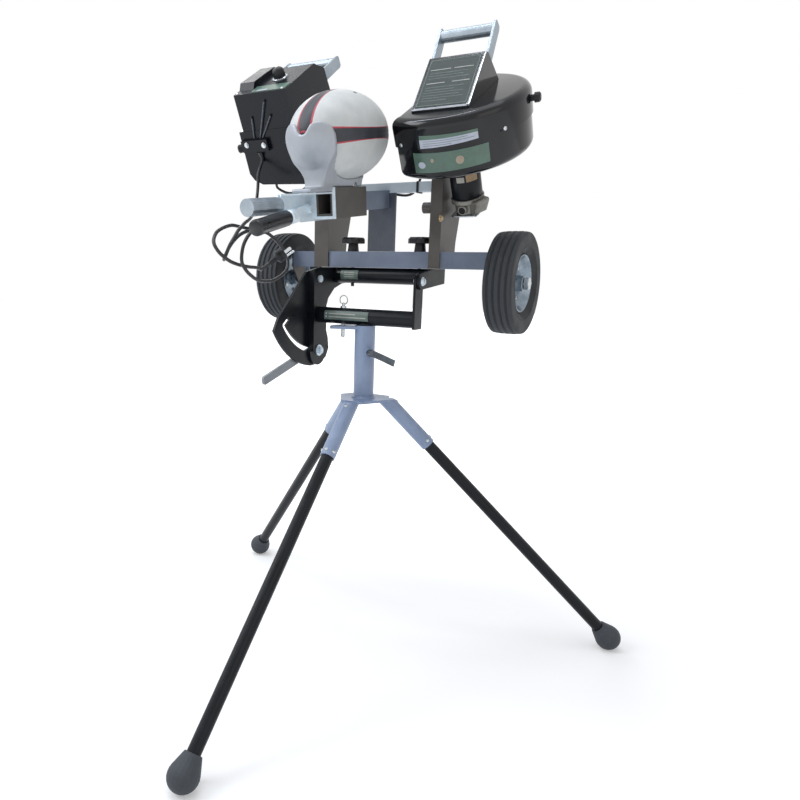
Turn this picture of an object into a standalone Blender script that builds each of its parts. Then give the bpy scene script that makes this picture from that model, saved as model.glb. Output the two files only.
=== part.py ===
# Rugby ball throwing machine on a folding tripod.
# Metres, +Z up, +Y is the direction of throw. The origin lies on the ground, at the middle of the
# ground box of the three feet, and the post stands POST_Y ahead of it.

import math

import bmesh
import bpy
from mathutils import Matrix, Vector

# Clearance between pieces that touch or run in each other
CLEAR = 0.0003

# Tripod
FOOT_REACH = 0.643
FOOT_BULB = 0.0315
FOOT_SQUASH = 0.0015
FOOT_NECK = 0.0180
FOOT_HEIGHT = 0.041
LEG_RADIUS = 0.0143
LEG_WALL = 0.0016
LEG_IN_FOOT = 0.012
LEG_AZIMUTHS = {"near": -90, "right": 30, "left": 150}
POST_Y = FOOT_REACH / 4
HUB_PLATE_TOP = 0.642
HUB_PLATE_THICK = 0.006
HUB_PLATE_RADIUS = 0.068
HUB_PLATE_SPREAD = 23
LEG_ROOT_RADIUS = 0.0557
SOCKET_WALL = 0.0029
SOCKET_LENGTH = 0.150
LEG_ROOM = 0.020
POST_RADIUS = 0.02415
POST_WALL = 0.0032
INDEX_FLANGE_REACH = 0.083
INDEX_FLANGE_THICK = 0.006
INDEX_FLANGE_ANGLE = 32
INDEX_SLOT_ANGLE = 21
INDEX_RADIUS = 0.060
PIN_RADIUS = 0.0045
PIN_REACH = 0.022
CLAMP_Z = 0.752
CLAMP_AZIMUTH = -40
CLAMP_BOSS_RADIUS = 0.010
CLAMP_BOSS_REACH = 0.034
CLAMP_SCREW_RADIUS = 0.005

# Swivel yoke
YOKE_TUBE_RADIUS = 0.019
YOKE_TUBE_WALL = 0.0026
YOKE_TUBE_Z = 0.832
YOKE_INSIDE = 0.129
PLATE_THICK = 0.006
PIVOT_Z = 0.917
PIVOT_BOLT_RADIUS = 0.005
SPINDLE_DEPTH = 0.090
ARM_FLANGE = 0.010
TILT_CLAMP_RADIUS = 0.172
QUADRANT_RADIUS = 0.210
SLOT_FROM = -53
SLOT_TO = 14
SLOT_HOOK = 0.022
LOCK_LEVER_LENGTH = 0.205
LOCK_LEVER_DROP = 15
LOCK_LEVER_WIDTH = 0.020

# Head frame
BAR_SIZE = 0.038
BAR_WALL = 0.0025
BAR_LEFT = -0.256
BAR_RIGHT = 0.270
BAR_Y = 0.092
BAR_Z = 0.964
KNOB_X = 0.090
KNOB_STUD_RADIUS = 0.004
KNOB_STEM_RADIUS = 0.014
KNOB_STEM_HEIGHT = 0.018
KNOB_HEAD_RADIUS = 0.031
KNOB_HEAD_HEIGHT = 0.015
SHEET_THICK = 0.0043
UPRIGHT_RIGHT_X = 0.150
UPRIGHT_LEFT_X = -0.153
UPRIGHT_FLANGE_RIGHT = 0.028
UPRIGHT_FLANGE_LEFT = 0.036
UPRIGHT_REACH = 0.180
UPRIGHT_WAIST = 0.156
POST_LEFT = -0.040
POST_RIGHT = 0.031
CROSS_BAR_SIZE = 0.022
CROSS_BAR_Z = 1.127

# Transport wheels
WHEEL_LEFT_X = -0.294
WHEEL_RIGHT_X = 0.308
WHEEL_Y = 0.115
WHEEL_Z = 0.917
TYRE_RADIUS = 0.1125
TYRE_WIDTH = 0.064
RIM_RADIUS = 0.064
RIM_WIDTH = 0.048
AXLE_RADIUS = 0.008
RIM_HUB_HALF = 0.027

# Throwing units
UNIT_X = 0.192
UNIT_Y = 0.0395
UNIT_Z = 1.244
UNIT_TILT = 28
COVER_RADIUS = 0.153
COVER_FLAT = 0.094
COVER_REAR_FLAT = 0.1335
COVER_HALF = 0.0615
COVER_WALL = 0.003
COVER_SEAM = 0.005
COVER_LAP = 0.004
COVER_ROUND_TOP = 0.018
COVER_ROUND_LOW = 0.016
SPIN_RADIUS = 0.107
SPIN_WIDTH = 0.060
SPIN_HUB_RADIUS = 0.056
SPIN_SHAFT_RADIUS = 0.0057
SHAFT_IN_MOTOR = 0.020
MOTOR_RADIUS = 0.034
MOTOR_LENGTH = 0.125
MOTOR_CAN = 0.086
MOTOR_PILOT = 0.019
MOUNT_PLATE_THICK = 0.005
HANDLE_TUBE_RADIUS = 0.0135
HANDLE_ARM_THICK = 0.005
HANDLE_REACH_RIGHT = 0.080
HANDLE_REACH_LEFT = 0.073

# Ball carriage
FEED_TILT = 6.5
RAIL_Z = 1.080
RAIL_Y = -0.121
RAIL_REAR = -0.120
SLEEVE_FROM = -0.187
SLEEVE_TO = -0.055
SLEEVE_WIDTH = 0.050
SLEEVE_HEIGHT = 0.061
SLEEVE_WALL = 0.010
BALL_Y = -0.130
BALL_Z = 1.211
BALL_PITCH = 10
BALL_HALF_LENGTH = 0.138
BALL_RADIUS = 0.0885
CRADLE_WALL = 0.007
BRACKET_THICK = 0.003
PUSH_RADIUS = 0.0163
PUSH_LENGTH = 0.096
LEVER_X = -0.006
LEVER_PIVOT_Y = -0.212
LEVER_PIVOT_Z = 1.060
LEVER_DROP = 13.5
GRIP_RADIUS = 0.0152
GRIP_FROM = 0.100
GRIP_TO = 0.207
LEAD_DIAMETER = 0.007
LEAD_SPACING = 0.0195
LINK_DIAMETER = 0.006
LINK_SPACING = 0.0125
PLUG_AIM = (0.609, 0.527, 0.593)


for old in list(bpy.data.objects):
    bpy.data.objects.remove(old, do_unlink=True)


# Materials

def finish(name, colour, roughness, metallic=0.0):
    material = bpy.data.materials.new(name)
    material.use_nodes = True
    shader = material.node_tree.nodes["Principled BSDF"]
    shader.inputs["Base Color"].default_value = (*colour, 1.0)
    shader.inputs["Roughness"].default_value = roughness
    shader.inputs["Metallic"].default_value = metallic
    return material


LAVENDER = finish("lavender enamel", (0.30, 0.34, 0.50), 0.45)
GREY = finish("grey enamel", (0.25, 0.25, 0.26), 0.50)
BLACK = finish("black enamel", (0.012, 0.013, 0.015), 0.35)
RUBBER = finish("black rubber", (0.018, 0.018, 0.018), 0.75)
SHELL = finish("black moulded shell", (0.010, 0.010, 0.012), 0.25)
ZINC = finish("zinc plate", (0.62, 0.66, 0.70), 0.35, 1.0)
STEEL = finish("bright steel", (0.60, 0.60, 0.60), 0.30, 1.0)
CAST = finish("cast aluminium", (0.55, 0.56, 0.58), 0.50, 1.0)
KNOB = finish("black knob plastic", (0.015, 0.015, 0.015), 0.45)
LEATHER = finish("ball cover", (0.80, 0.80, 0.78), 0.55)


# Holders: empties that carry the pieces, one on each joint axis

holders = {}


def holder(name, at, carrier=None, turn=(0, 0, 0)):
    empty = bpy.data.objects.new(name, None)
    bpy.context.collection.objects.link(empty)
    empty.parent = holders[carrier] if carrier else None
    base = Vector(empty.parent["at"]) if carrier else Vector()
    empty.location = Vector(at) - base
    empty.rotation_euler = [math.radians(a) for a in turn]
    empty["at"] = tuple(at)
    holders[name] = empty
    return empty


# Shapes

def add(name, mesh, material, carrier, at=None, turn=(0, 0, 0)):
    """Place a mesh on a holder; `at` is in post coordinates, or None for the holder's own origin."""
    piece = bpy.data.objects.new(name, mesh)
    bpy.context.collection.objects.link(piece)
    piece.parent = holders[carrier]
    if at is not None:
        piece.location = Vector(at) - Vector(holders[carrier]["at"])
    piece.rotation_euler = [math.radians(a) for a in turn]
    mesh.materials.clear()
    mesh.materials.append(material)
    return piece


def local(piece, at, turn=(0, 0, 0)):
    """Set a piece's place in its holder's own coordinates."""
    piece.location = at
    piece.rotation_euler = [math.radians(a) for a in turn]
    return piece


def to_mesh(name, bm, smooth=True):
    bmesh.ops.recalc_face_normals(bm, faces=bm.faces)
    mesh = bpy.data.meshes.new(name)
    bm.to_mesh(mesh)
    bm.free()
    if smooth:
        mesh.shade_smooth()
        mesh.set_sharp_from_angle(angle=math.radians(35))
    return mesh


def block(x, y, z):
    """A box from three (low, high) pairs."""
    bm = bmesh.new()
    bmesh.ops.create_cube(bm, size=1.0)
    size = Vector((x[1] - x[0], y[1] - y[0], z[1] - z[0]))
    middle = Vector((x[0] + x[1], y[0] + y[1], z[0] + z[1])) / 2
    for vertex in bm.verts:
        vertex.co = Vector(a * b for a, b in zip(vertex.co, size)) + middle
    return to_mesh("block", bm, smooth=False)


def prism(outline, low, high, axis="x"):
    """Extrude an outline: (y, z) along x, (x, z) along y, or (x, y) along z."""
    lay = {
        "x": lambda a, b, h: (h, a, b),
        "y": lambda a, b, h: (a, h, b),
        "z": lambda a, b, h: (a, b, h),
    }[axis]
    bm = bmesh.new()
    face = bm.faces.new([bm.verts.new(lay(a, b, low)) for a, b in outline])
    grown = bmesh.ops.extrude_face_region(bm, geom=[face])
    step = Vector(lay(0, 0, high - low))
    moved = [item for item in grown["geom"] if isinstance(item, bmesh.types.BMVert)]
    bmesh.ops.translate(bm, vec=step, verts=moved)
    return to_mesh("prism", bm)


def turned(profile, segments, axis="z", closed=False):
    """Spin a (radius, height) profile about an axis; a closed profile makes a ring."""
    bm = bmesh.new()
    verts = [bm.verts.new((radius, 0, height)) for radius, height in profile]
    pairs = list(zip(verts, verts[1:]))
    if closed:
        pairs.append((verts[-1], verts[0]))
    edges = [bm.edges.new(pair) for pair in pairs]
    bmesh.ops.spin(
        bm, geom=verts + edges, cent=(0, 0, 0), axis=(0, 0, 1), dvec=(0, 0, 0),
        angle=2 * math.pi, steps=segments, use_merge=True,
    )
    bmesh.ops.remove_doubles(bm, verts=bm.verts, dist=1e-6)
    if axis == "x":
        bmesh.ops.rotate(bm, verts=bm.verts, cent=(0, 0, 0), matrix=Matrix.Rotation(math.pi / 2, 3, "Y"))
    if axis == "y":
        bmesh.ops.rotate(bm, verts=bm.verts, cent=(0, 0, 0), matrix=Matrix.Rotation(-math.pi / 2, 3, "X"))
    return to_mesh("turned", bm)


def rod(radius, low, high, segments=24, axis="z"):
    return turned([(0, low), (radius, low), (radius, high), (0, high)], segments, axis)


def pipe(outer, inner, low, high, segments=24, axis="z"):
    profile = [(inner, low), (outer, low), (outer, high), (inner, high)]
    return turned(profile, segments, axis, closed=True)


def loft(rings, capped=True):
    """Bridge rings of equal point count in order, with a face on each end."""
    bm = bmesh.new()
    rows = [[bm.verts.new(point) for point in ring] for ring in rings]
    for low, high in zip(rows, rows[1:]):
        count = len(low)
        for i in range(count):
            bm.faces.new((low[i], low[(i + 1) % count], high[(i + 1) % count], high[i]))
    if capped:
        bm.faces.new(rows[0])
        bm.faces.new(rows[-1])
    return to_mesh("loft", bm)


def guide(mesh, target, at=None, turn=(0, 0, 0)):
    """A hidden shape on the target's holder, for cutting or joining."""
    shape = bpy.data.objects.new("guide", mesh)
    bpy.context.collection.objects.link(shape)
    shape.parent = target.parent
    if at is None:
        shape.location = target.location
        shape.rotation_euler = target.rotation_euler
    else:
        shape.location = at
        shape.rotation_euler = [math.radians(a) for a in turn]
    shape.hide_render = True
    shape.display_type = "WIRE"
    return shape


def boolean(target, shape, operation):
    step = target.modifiers.new(operation.lower(), "BOOLEAN")
    step.operation = operation
    step.solver = "EXACT"
    step.object = shape


def cut(target, mesh, at=None, turn=(0, 0, 0)):
    boolean(target, guide(mesh, target, at, turn), "DIFFERENCE")


def weld(target, mesh, at=None, turn=(0, 0, 0)):
    boolean(target, guide(mesh, target, at, turn), "UNION")


# Outlines

def arc(centre, radius, start, end, steps):
    points = []
    for i in range(steps + 1):
        angle = math.radians(start + (end - start) * i / steps)
        points.append((centre[0] + radius * math.cos(angle), centre[1] + radius * math.sin(angle)))
    return points


def arc_slot(centre, radius, half_width, start, end, steps=8):
    """A curved slot with round ends, swept about a centre."""
    first = arc(centre, radius, start, start, 1)[0]
    last = arc(centre, radius, end, end, 1)[0]
    outline = arc(centre, radius + half_width, start, end, steps)
    outline += arc(last, half_width, end, end + 180, 6)[1:-1]
    outline += arc(centre, radius - half_width, end, start, steps)
    outline += arc(first, half_width, start + 180, start + 360, 6)[1:-1]
    return outline


def fillet(outline, radius, steps=3):
    """Round the corners of a closed outline that turn by more than 25 degrees."""
    rounded = []
    count = len(outline)
    for i in range(count):
        before = Vector(outline[i - 1])
        corner = Vector(outline[i])
        after = Vector(outline[(i + 1) % count])
        back = before - corner
        ahead = after - corner
        opening = back.angle(ahead)
        if math.pi - opening < math.radians(25):
            rounded.append(tuple(corner))
            continue
        reach = min(radius / math.tan(opening / 2), back.length * 0.49, ahead.length * 0.49)
        start = corner + back.normalized() * reach
        end = corner + ahead.normalized() * reach
        for k in range(steps + 1):
            t = k / steps
            point = start.lerp(corner, t).lerp(corner.lerp(end, t), t)
            rounded.append(tuple(point))
    return rounded


def inset(outline, distance):
    """Move each side of a convex, anticlockwise outline inward."""
    moved = []
    count = len(outline)
    for i in range(count):
        before = Vector(outline[i - 1])
        corner = Vector(outline[i])
        after = Vector(outline[(i + 1) % count])
        side_in = (corner - before).normalized()
        side_out = (after - corner).normalized()
        normal_in = Vector((-side_in.y, side_in.x))
        normal_out = Vector((-side_out.y, side_out.x))
        bisector = (normal_in + normal_out).normalized()
        moved.append(tuple(corner + bisector * (distance / bisector.dot(normal_in))))
    return moved


# Tripod

holder("post_axis", (0, 0, 0))
holders["post_axis"].location = (0, POST_Y, 0)

leg_foot = Vector((FOOT_REACH, FOOT_BULB - FOOT_SQUASH))
leg_root = Vector((LEG_ROOT_RADIUS, HUB_PLATE_TOP - HUB_PLATE_THICK))
leg_length = (leg_root - leg_foot).length
leg_lean = math.degrees(math.atan2(FOOT_REACH - LEG_ROOT_RADIUS, leg_root.y - leg_foot.y))
POST_TOP = YOKE_TUBE_Z - YOKE_TUBE_RADIUS - CLEAR
POST_BORE = POST_RADIUS - POST_WALL

for side, azimuth in LEG_AZIMUTHS.items():
    name = "leg_axis_" + side
    radial = math.radians(azimuth)
    foot_at = (FOOT_REACH * math.cos(radial), FOOT_REACH * math.sin(radial), leg_foot.y)
    holder(name, foot_at, "post_axis")
    # The leg's own +Z runs from the foot up to the hub
    holders[name].rotation_euler = (0, -math.radians(leg_lean), radial)


def hub_plate_outline():
    points = []
    for azimuth in sorted(LEG_AZIMUTHS.values()):
        for spread in (-HUB_PLATE_SPREAD, HUB_PLATE_SPREAD):
            angle = math.radians(azimuth + spread)
            points.append((HUB_PLATE_RADIUS * math.cos(angle), HUB_PLATE_RADIUS * math.sin(angle)))
    return fillet(points, 0.006, 2)


def index_flange_outline():
    rim = arc((0, 0), INDEX_FLANGE_REACH, 180 - INDEX_FLANGE_ANGLE, 180 + INDEX_FLANGE_ANGLE, 8)
    return fillet([(0.005, 0.018)] + rim + [(0.005, -0.018)], 0.006, 2)


def leg_matrix(side, slide=0.0):
    place = holders["leg_axis_" + side]
    turn = place.rotation_euler.to_matrix()
    return place.location + turn @ Vector((0, 0, slide)), [math.degrees(a) for a in place.rotation_euler]


def tripod_hub():
    hub = add(
        "tripod_hub",
        prism(hub_plate_outline(), HUB_PLATE_TOP - HUB_PLATE_THICK, HUB_PLATE_TOP, "z"),
        LAVENDER, "post_axis",
    )
    weld(hub, rod(POST_RADIUS, HUB_PLATE_TOP - 0.003, POST_TOP, 28))
    plate_under = HUB_PLATE_TOP - HUB_PLATE_THICK
    trim = block((-0.3, 0.3), (-0.3, 0.3), (plate_under + 0.003, HUB_PLATE_TOP + 0.06))
    for side in LEG_AZIMUTHS:
        at, turn = leg_matrix(side)
        socket = guide(
            rod(LEG_RADIUS + SOCKET_WALL, leg_length - SOCKET_LENGTH, leg_length + 0.03, 20), hub, at, turn
        )
        trimmer = guide(trim, hub)
        boolean(socket, trimmer, "DIFFERENCE")
        boolean(hub, socket, "UNION")
    flange_low = POST_TOP - 0.009
    weld(hub, prism(index_flange_outline(), flange_low, flange_low + INDEX_FLANGE_THICK, "z"))
    clamp_turn = (0, 90, CLAMP_AZIMUTH)
    clamp_at = (0, 0, CLAMP_Z)
    weld(hub, rod(CLAMP_BOSS_RADIUS, POST_RADIUS - 0.002, CLAMP_BOSS_REACH, 16), clamp_at, clamp_turn)
    cut(hub, rod(POST_BORE, HUB_PLATE_TOP, POST_TOP + 0.01, 28))
    cut(hub, rod(CLAMP_SCREW_RADIUS + CLEAR, 0.010, CLAMP_BOSS_REACH + 0.01, 12), clamp_at, clamp_turn)
    slot = arc_slot(
        (0, 0), INDEX_RADIUS, PIN_RADIUS + CLEAR, 180 - INDEX_SLOT_ANGLE, 180 + INDEX_SLOT_ANGLE
    )
    cut(hub, prism(slot, flange_low - 0.01, flange_low + 0.02, "z"))
    for side in LEG_AZIMUTHS:
        at, turn = leg_matrix(side)
        bore = rod(LEG_RADIUS + CLEAR, leg_length - SOCKET_LENGTH - 0.01, leg_length - LEG_ROOM + CLEAR, 20)
        cut(hub, bore, at, turn)


def leg_and_foot(side):
    leg = pipe(LEG_RADIUS, LEG_RADIUS - LEG_WALL, -LEG_IN_FOOT, leg_length - LEG_ROOM, 20)
    add("leg_" + side, leg, BLACK, "leg_axis_" + side)
    bulb = arc((0, 0), FOOT_BULB, -90, 20, 8)
    well = LEG_RADIUS + CLEAR
    profile = [(0, -FOOT_BULB)] + bulb[1:]
    profile += [(FOOT_NECK + 0.0005, FOOT_HEIGHT - 0.001), (FOOT_NECK - 0.0005, FOOT_HEIGHT)]
    profile += [(well, FOOT_HEIGHT), (well, -LEG_IN_FOOT - CLEAR), (0, -LEG_IN_FOOT - CLEAR)]
    foot = add("foot_" + side, turned(profile, 20), RUBBER, "leg_axis_" + side)
    place = holders["leg_axis_" + side]
    ground = guide(block((-0.1, 0.1), (-0.1, 0.1), (-0.1, 0)), foot)
    ground.parent = holders["post_axis"]
    ground.location = (place.location.x, place.location.y, 0)
    boolean(foot, ground, "DIFFERENCE")


tripod_hub()
for leg_side in LEG_AZIMUTHS:
    leg_and_foot(leg_side)


# Swivel clamp screw with its bent flat lever

holder("clamp_axis", (0, 0, CLAMP_Z), "post_axis", (0, 90, CLAMP_AZIMUTH))
SPINDLE_RADIUS = POST_BORE - CLEAR


def bent_bar(path, width, thickness, across):
    """A flat bar through a path; `across` is the direction of its width."""
    rings = []
    for i, point in enumerate(path):
        ahead = Vector(path[min(i + 1, len(path) - 1)]) - Vector(path[max(i - 1, 0)])
        wide = Vector(across).normalized() * width / 2
        thick = ahead.cross(Vector(across)).normalized() * thickness / 2
        centre = Vector(point)
        rings.append([
            centre + wide + thick, centre - wide + thick, centre - wide - thick, centre + wide - thick,
        ])
    return loft(rings)


def swivel_clamp_screw():
    tip = SPINDLE_RADIUS + CLEAR
    head = CLAMP_BOSS_REACH + CLEAR
    profile = [
        (0, tip), (CLAMP_SCREW_RADIUS, tip), (CLAMP_SCREW_RADIUS, head), (0.0085, head),
        (0.0085, head + 0.008), (0.0065, head + 0.014), (0, head + 0.014),
    ]
    screw = add("swivel_clamp_screw", turned(profile, 12), ZINC, "clamp_axis")
    # In this holder +Z points out of the post and +X points down
    path = [(0, 0, head + 0.006), (0.001, 0.004, head + 0.013)]
    path += [(0.008, 0.019, head + 0.026), (0.019, 0.040, head + 0.052)]
    weld(screw, bent_bar(path, 0.015, 0.004, (1, -0.25, 0)))


swivel_clamp_screw()


# Swivel yoke

holder("swivel_axis", (0, 0, YOKE_TUBE_Z), "post_axis")


def swivel_tube():
    end = YOKE_INSIDE - CLEAR
    tube = add("swivel_tube", rod(YOKE_TUBE_RADIUS, -end, end, 24, "x"), BLACK, "swivel_axis")
    bore = YOKE_TUBE_RADIUS - YOKE_TUBE_WALL
    cut(tube, rod(bore, -end - 0.01, end + 0.01, 24, "x"))
    weld(tube, rod(SPINDLE_RADIUS, -SPINDLE_DEPTH, -YOKE_TUBE_RADIUS + 0.004, 28))
    weld(tube, rod(SPINDLE_RADIUS - 0.006, -YOKE_TUBE_RADIUS, bore + 0.001, 16))
    hole = rod(PIN_RADIUS + CLEAR, -YOKE_TUBE_RADIUS - 0.01, YOKE_TUBE_RADIUS + 0.01, 12)
    cut(tube, hole, (-INDEX_RADIUS, 0, 0))


def arm_right_outline():
    top = arc((0, PIVOT_Z), YOKE_TUBE_RADIUS, 0, 180, 8)
    foot = YOKE_TUBE_Z - YOKE_TUBE_RADIUS - 0.002
    return fillet(top + [(-YOKE_TUBE_RADIUS, foot), (YOKE_TUBE_RADIUS, foot)], 0.003, 2)


def arm_left_outline():
    clamp_z = PIVOT_Z - TILT_CLAMP_RADIUS
    bottom = arc((-0.002, clamp_z), 0.036, 180, 360, 10)
    return bottom + [(0.034, 0.850), (0.020, 0.905), (0.016, 0.936), (-0.038, 0.936)]


def bolt_hole(radius, x):
    return rod(radius + CLEAR, x - 0.02, x + 0.02, 12, "x")


def swivel_arms():
    inner = YOKE_INSIDE
    outer = YOKE_INSIDE + PLATE_THICK
    base = (0, 0, 0)
    right = add("swivel_arm_right", prism(arm_right_outline(), inner, outer), BLACK, "swivel_axis", base)
    lift = Vector((0, 0, -YOKE_TUBE_Z))
    cut(right, bolt_hole(PIVOT_BOLT_RADIUS, inner), lift + Vector((0, 0, PIVOT_Z)))
    left = add("swivel_arm_left", prism(arm_left_outline(), -outer, -inner), BLACK, "swivel_axis", base)
    flange = block((-outer, -inner + ARM_FLANGE), (-0.038, -0.034), (PIVOT_Z - TILT_CLAMP_RADIUS, 0.936))
    weld(left, flange)
    cut(left, bolt_hole(PIVOT_BOLT_RADIUS, -inner), lift + Vector((0, 0, PIVOT_Z)))
    cut(left, bolt_hole(PIVOT_BOLT_RADIUS, -inner), lift + Vector((0, 0, PIVOT_Z - TILT_CLAMP_RADIUS)))


EAR_INNER = YOKE_INSIDE + PLATE_THICK + CLEAR
EAR_OUTER = EAR_INNER + PLATE_THICK


def pivot_bolt(side, sign):
    nut = YOKE_INSIDE - CLEAR
    head = EAR_OUTER + CLEAR
    profile = [
        (0, nut - 0.007), (PIVOT_BOLT_RADIUS, nut - 0.007), (PIVOT_BOLT_RADIUS, nut - 0.005),
        (0.0085, nut - 0.005), (0.0085, nut), (PIVOT_BOLT_RADIUS, nut), (PIVOT_BOLT_RADIUS, head),
        (0.010, head), (0.010, head + 0.0015), (0.0085, head + 0.0015), (0.0065, head + 0.006),
        (0, head + 0.007),
    ]
    bolt = add("pivot_bolt_" + side, turned(profile, 12, "x"), ZINC, "swivel_axis", (0, 0, PIVOT_Z))
    if sign < 0:
        bolt.rotation_euler = (0, 0, math.pi)


LOCK_INNER = EAR_OUTER + CLEAR + 0.003


def tilt_clamp_bolt():
    nut = YOKE_INSIDE - CLEAR
    washer = EAR_OUTER + CLEAR
    lever_in = LOCK_INNER
    head = LOCK_INNER + 2 * CLEAR + PLATE_THICK
    profile = [
        (0, nut - 0.010), (PIVOT_BOLT_RADIUS, nut - 0.010), (PIVOT_BOLT_RADIUS, nut - 0.0085),
        (0.0085, nut - 0.0085), (0.0085, nut - 0.002), (0.014, nut - 0.002), (0.014, nut),
        (PIVOT_BOLT_RADIUS, nut), (PIVOT_BOLT_RADIUS, washer), (0.013, washer), (0.013, lever_in),
        (PIVOT_BOLT_RADIUS, lever_in), (PIVOT_BOLT_RADIUS, head), (0.009, head), (0.009, head + 0.005),
        (0, head + 0.006),
    ]
    clamp_at = (0, 0, PIVOT_Z - TILT_CLAMP_RADIUS)
    bolt = add("tilt_clamp_bolt", turned(profile, 12, "x"), ZINC, "swivel_axis", clamp_at)
    bolt.rotation_euler = (0, 0, math.pi)


def tilt_lock_lever():
    holder("lock_axis", (0, 0, PIVOT_Z - TILT_CLAMP_RADIUS), "swivel_axis")
    half = LOCK_LEVER_WIDTH / 2
    outline = arc((0, 0), 0.014, -60, 60, 6) + [(-0.014, half), (-LOCK_LEVER_LENGTH, half)]
    outline += [(-LOCK_LEVER_LENGTH - 0.004, half - 0.004), (-LOCK_LEVER_LENGTH - 0.004, 0.004 - half)]
    outline += [(-LOCK_LEVER_LENGTH, -half), (-0.014, -half)]
    inner = LOCK_INNER + CLEAR
    lever = add("tilt_lock_lever", prism(outline, -inner - PLATE_THICK, -inner), GREY, "lock_axis")
    lever.rotation_euler = (math.radians(LOCK_LEVER_DROP), 0, 0)
    cut(lever, bolt_hole(PIVOT_BOLT_RADIUS, -inner))


def index_pin():
    holder("index_axis", (-INDEX_RADIUS, 0, YOKE_TUBE_Z), "swivel_axis")
    top = YOKE_TUBE_RADIUS + CLEAR
    tip = POST_TOP - 0.009 - PIN_REACH - YOKE_TUBE_Z
    profile = [
        (0, tip), (PIN_RADIUS - 0.001, tip), (PIN_RADIUS, tip + 0.002), (PIN_RADIUS, top), (0.0075, top),
        (0.0075, top + 0.004), (0.0035, top + 0.005), (0.0035, top + 0.011), (0, top + 0.012),
    ]
    pin = add("index_pin", turned(profile, 12), ZINC, "index_axis")
    ring = turned(arc((0.0105, 0), 0.0013, 0, 300, 5), 16, "y", closed=True)
    weld(pin, ring, (0, 0, top + 0.018))


swivel_tube()
swivel_arms()
pivot_bolt("right", 1)
pivot_bolt("left", -1)
tilt_clamp_bolt()
tilt_lock_lever()
index_pin()


# Tilting head: quadrant, ear and tilt tube

holder("tilt_axis", (0, 0, PIVOT_Z), "swivel_axis")


def quadrant_outline():
    bar_under = BAR_Z - BAR_SIZE / 2 - CLEAR
    outline = [(-0.046, 0.9335), (-0.159, 0.831)]
    outline += arc((0, PIVOT_Z), QUADRANT_RADIUS, 180 + 33, 180 + 83, 9)
    outline += [(0.015, 0.711), (0.043, 0.724), (0.056, 0.745), (0.052, 0.772), (0.038, 0.806)]
    outline += [(0.038, 0.838), (0.052, 0.870), (0.080, 0.893), (0.115, 0.904), (0.140, 0.906)]
    outline += [(0.140, bar_under), (0.015, bar_under)]
    return outline


def tilt_yoke():
    base = (0, 0, 0)
    plate = prism(quadrant_outline(), -EAR_OUTER, -EAR_INNER)
    quadrant = add("quadrant_plate", plate, BLACK, "tilt_axis", base)
    slot = arc_slot(
        (0, PIVOT_Z), TILT_CLAMP_RADIUS, PIVOT_BOLT_RADIUS + 2 * CLEAR, 270 + SLOT_FROM, 270 + SLOT_TO, 20
    )
    cut(quadrant, prism(slot, -EAR_OUTER - 0.01, -EAR_INNER + 0.01))
    slot_end = math.radians(270 + SLOT_FROM)
    inward = [TILT_CLAMP_RADIUS - SLOT_HOOK, TILT_CLAMP_RADIUS]
    hook = [(r * math.cos(slot_end), PIVOT_Z + r * math.sin(slot_end)) for r in inward]
    turn = math.degrees(slot_end)
    half_width = PIVOT_BOLT_RADIUS + CLEAR
    outline = arc(hook[0], half_width, turn + 90, turn + 270, 6)
    outline += arc(hook[1], half_width, turn - 90, turn + 90, 6)
    cut(quadrant, prism(outline, -EAR_OUTER - 0.01, -EAR_INNER + 0.01))
    cut(quadrant, bolt_hole(PIVOT_BOLT_RADIUS, -EAR_INNER), (0, 0, 0))
    half = 0.0175
    under_bar = BAR_Z - BAR_SIZE / 2 - CLEAR
    ear_outline = arc((0, PIVOT_Z), half, 90, 270, 8)
    ear_outline += [(0.125, PIVOT_Z - 0.006), (0.125, under_bar), (0.060, under_bar)]
    ear = add("tilt_ear_right", prism(ear_outline, EAR_INNER, EAR_OUTER), BLACK, "tilt_axis", base)
    cut(ear, bolt_hole(PIVOT_BOLT_RADIUS, EAR_INNER), (0, 0, 0))
    end = EAR_INNER - CLEAR
    tube_z = BAR_Z - BAR_SIZE / 2 - CLEAR - YOKE_TUBE_RADIUS
    tube_at = (0, BAR_Y, tube_z)
    bore = YOKE_TUBE_RADIUS - YOKE_TUBE_WALL
    tube = add("tilt_tube", pipe(YOKE_TUBE_RADIUS, bore, -end, end, 24, "x"), BLACK, "tilt_axis", tube_at)
    for x in (-KNOB_X, KNOB_X):
        hole = rod(KNOB_STUD_RADIUS + CLEAR, -0.03, 0.03, 12)
        cut(tube, hole, Vector(tube_at) - Vector((0, 0, PIVOT_Z)) + Vector((x, 0, 0)))


tilt_yoke()


# Main bar, uprights, middle post and cross bar

BAR_FRONT = BAR_Y - BAR_SIZE / 2
BAR_TOP = BAR_Z + BAR_SIZE / 2
POST_FRONT = BAR_FRONT + 0.0003
unit_sine = math.sin(math.radians(UNIT_TILT))
unit_cosine = math.cos(math.radians(UNIT_TILT))
MOUNT_TOP = -COVER_HALF - 2 * CLEAR
MOUNT_UNDER = MOUNT_TOP - MOUNT_PLATE_THICK


def in_unit(y, z):
    """World (y, z) of a point in a throwing unit's tilted section."""
    return UNIT_Y + y * unit_cosine - z * unit_sine, UNIT_Z + y * unit_sine + z * unit_cosine


def main_bar():
    half = BAR_SIZE / 2
    bar = add(
        "main_bar", block((BAR_LEFT, BAR_RIGHT), (-half, half), (-half, half)), LAVENDER, "tilt_axis",
        (0, BAR_Y, BAR_Z),
    )
    room = half - BAR_WALL
    cut(bar, block((BAR_LEFT - 0.01, BAR_RIGHT + 0.01), (-room, room), (-room, room)))
    for x in (-KNOB_X, KNOB_X):
        hole = rod(KNOB_STUD_RADIUS + CLEAR, -0.03, 0.03, 12)
        cut(bar, hole, (x, BAR_Y, BAR_Z - PIVOT_Z))


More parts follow.
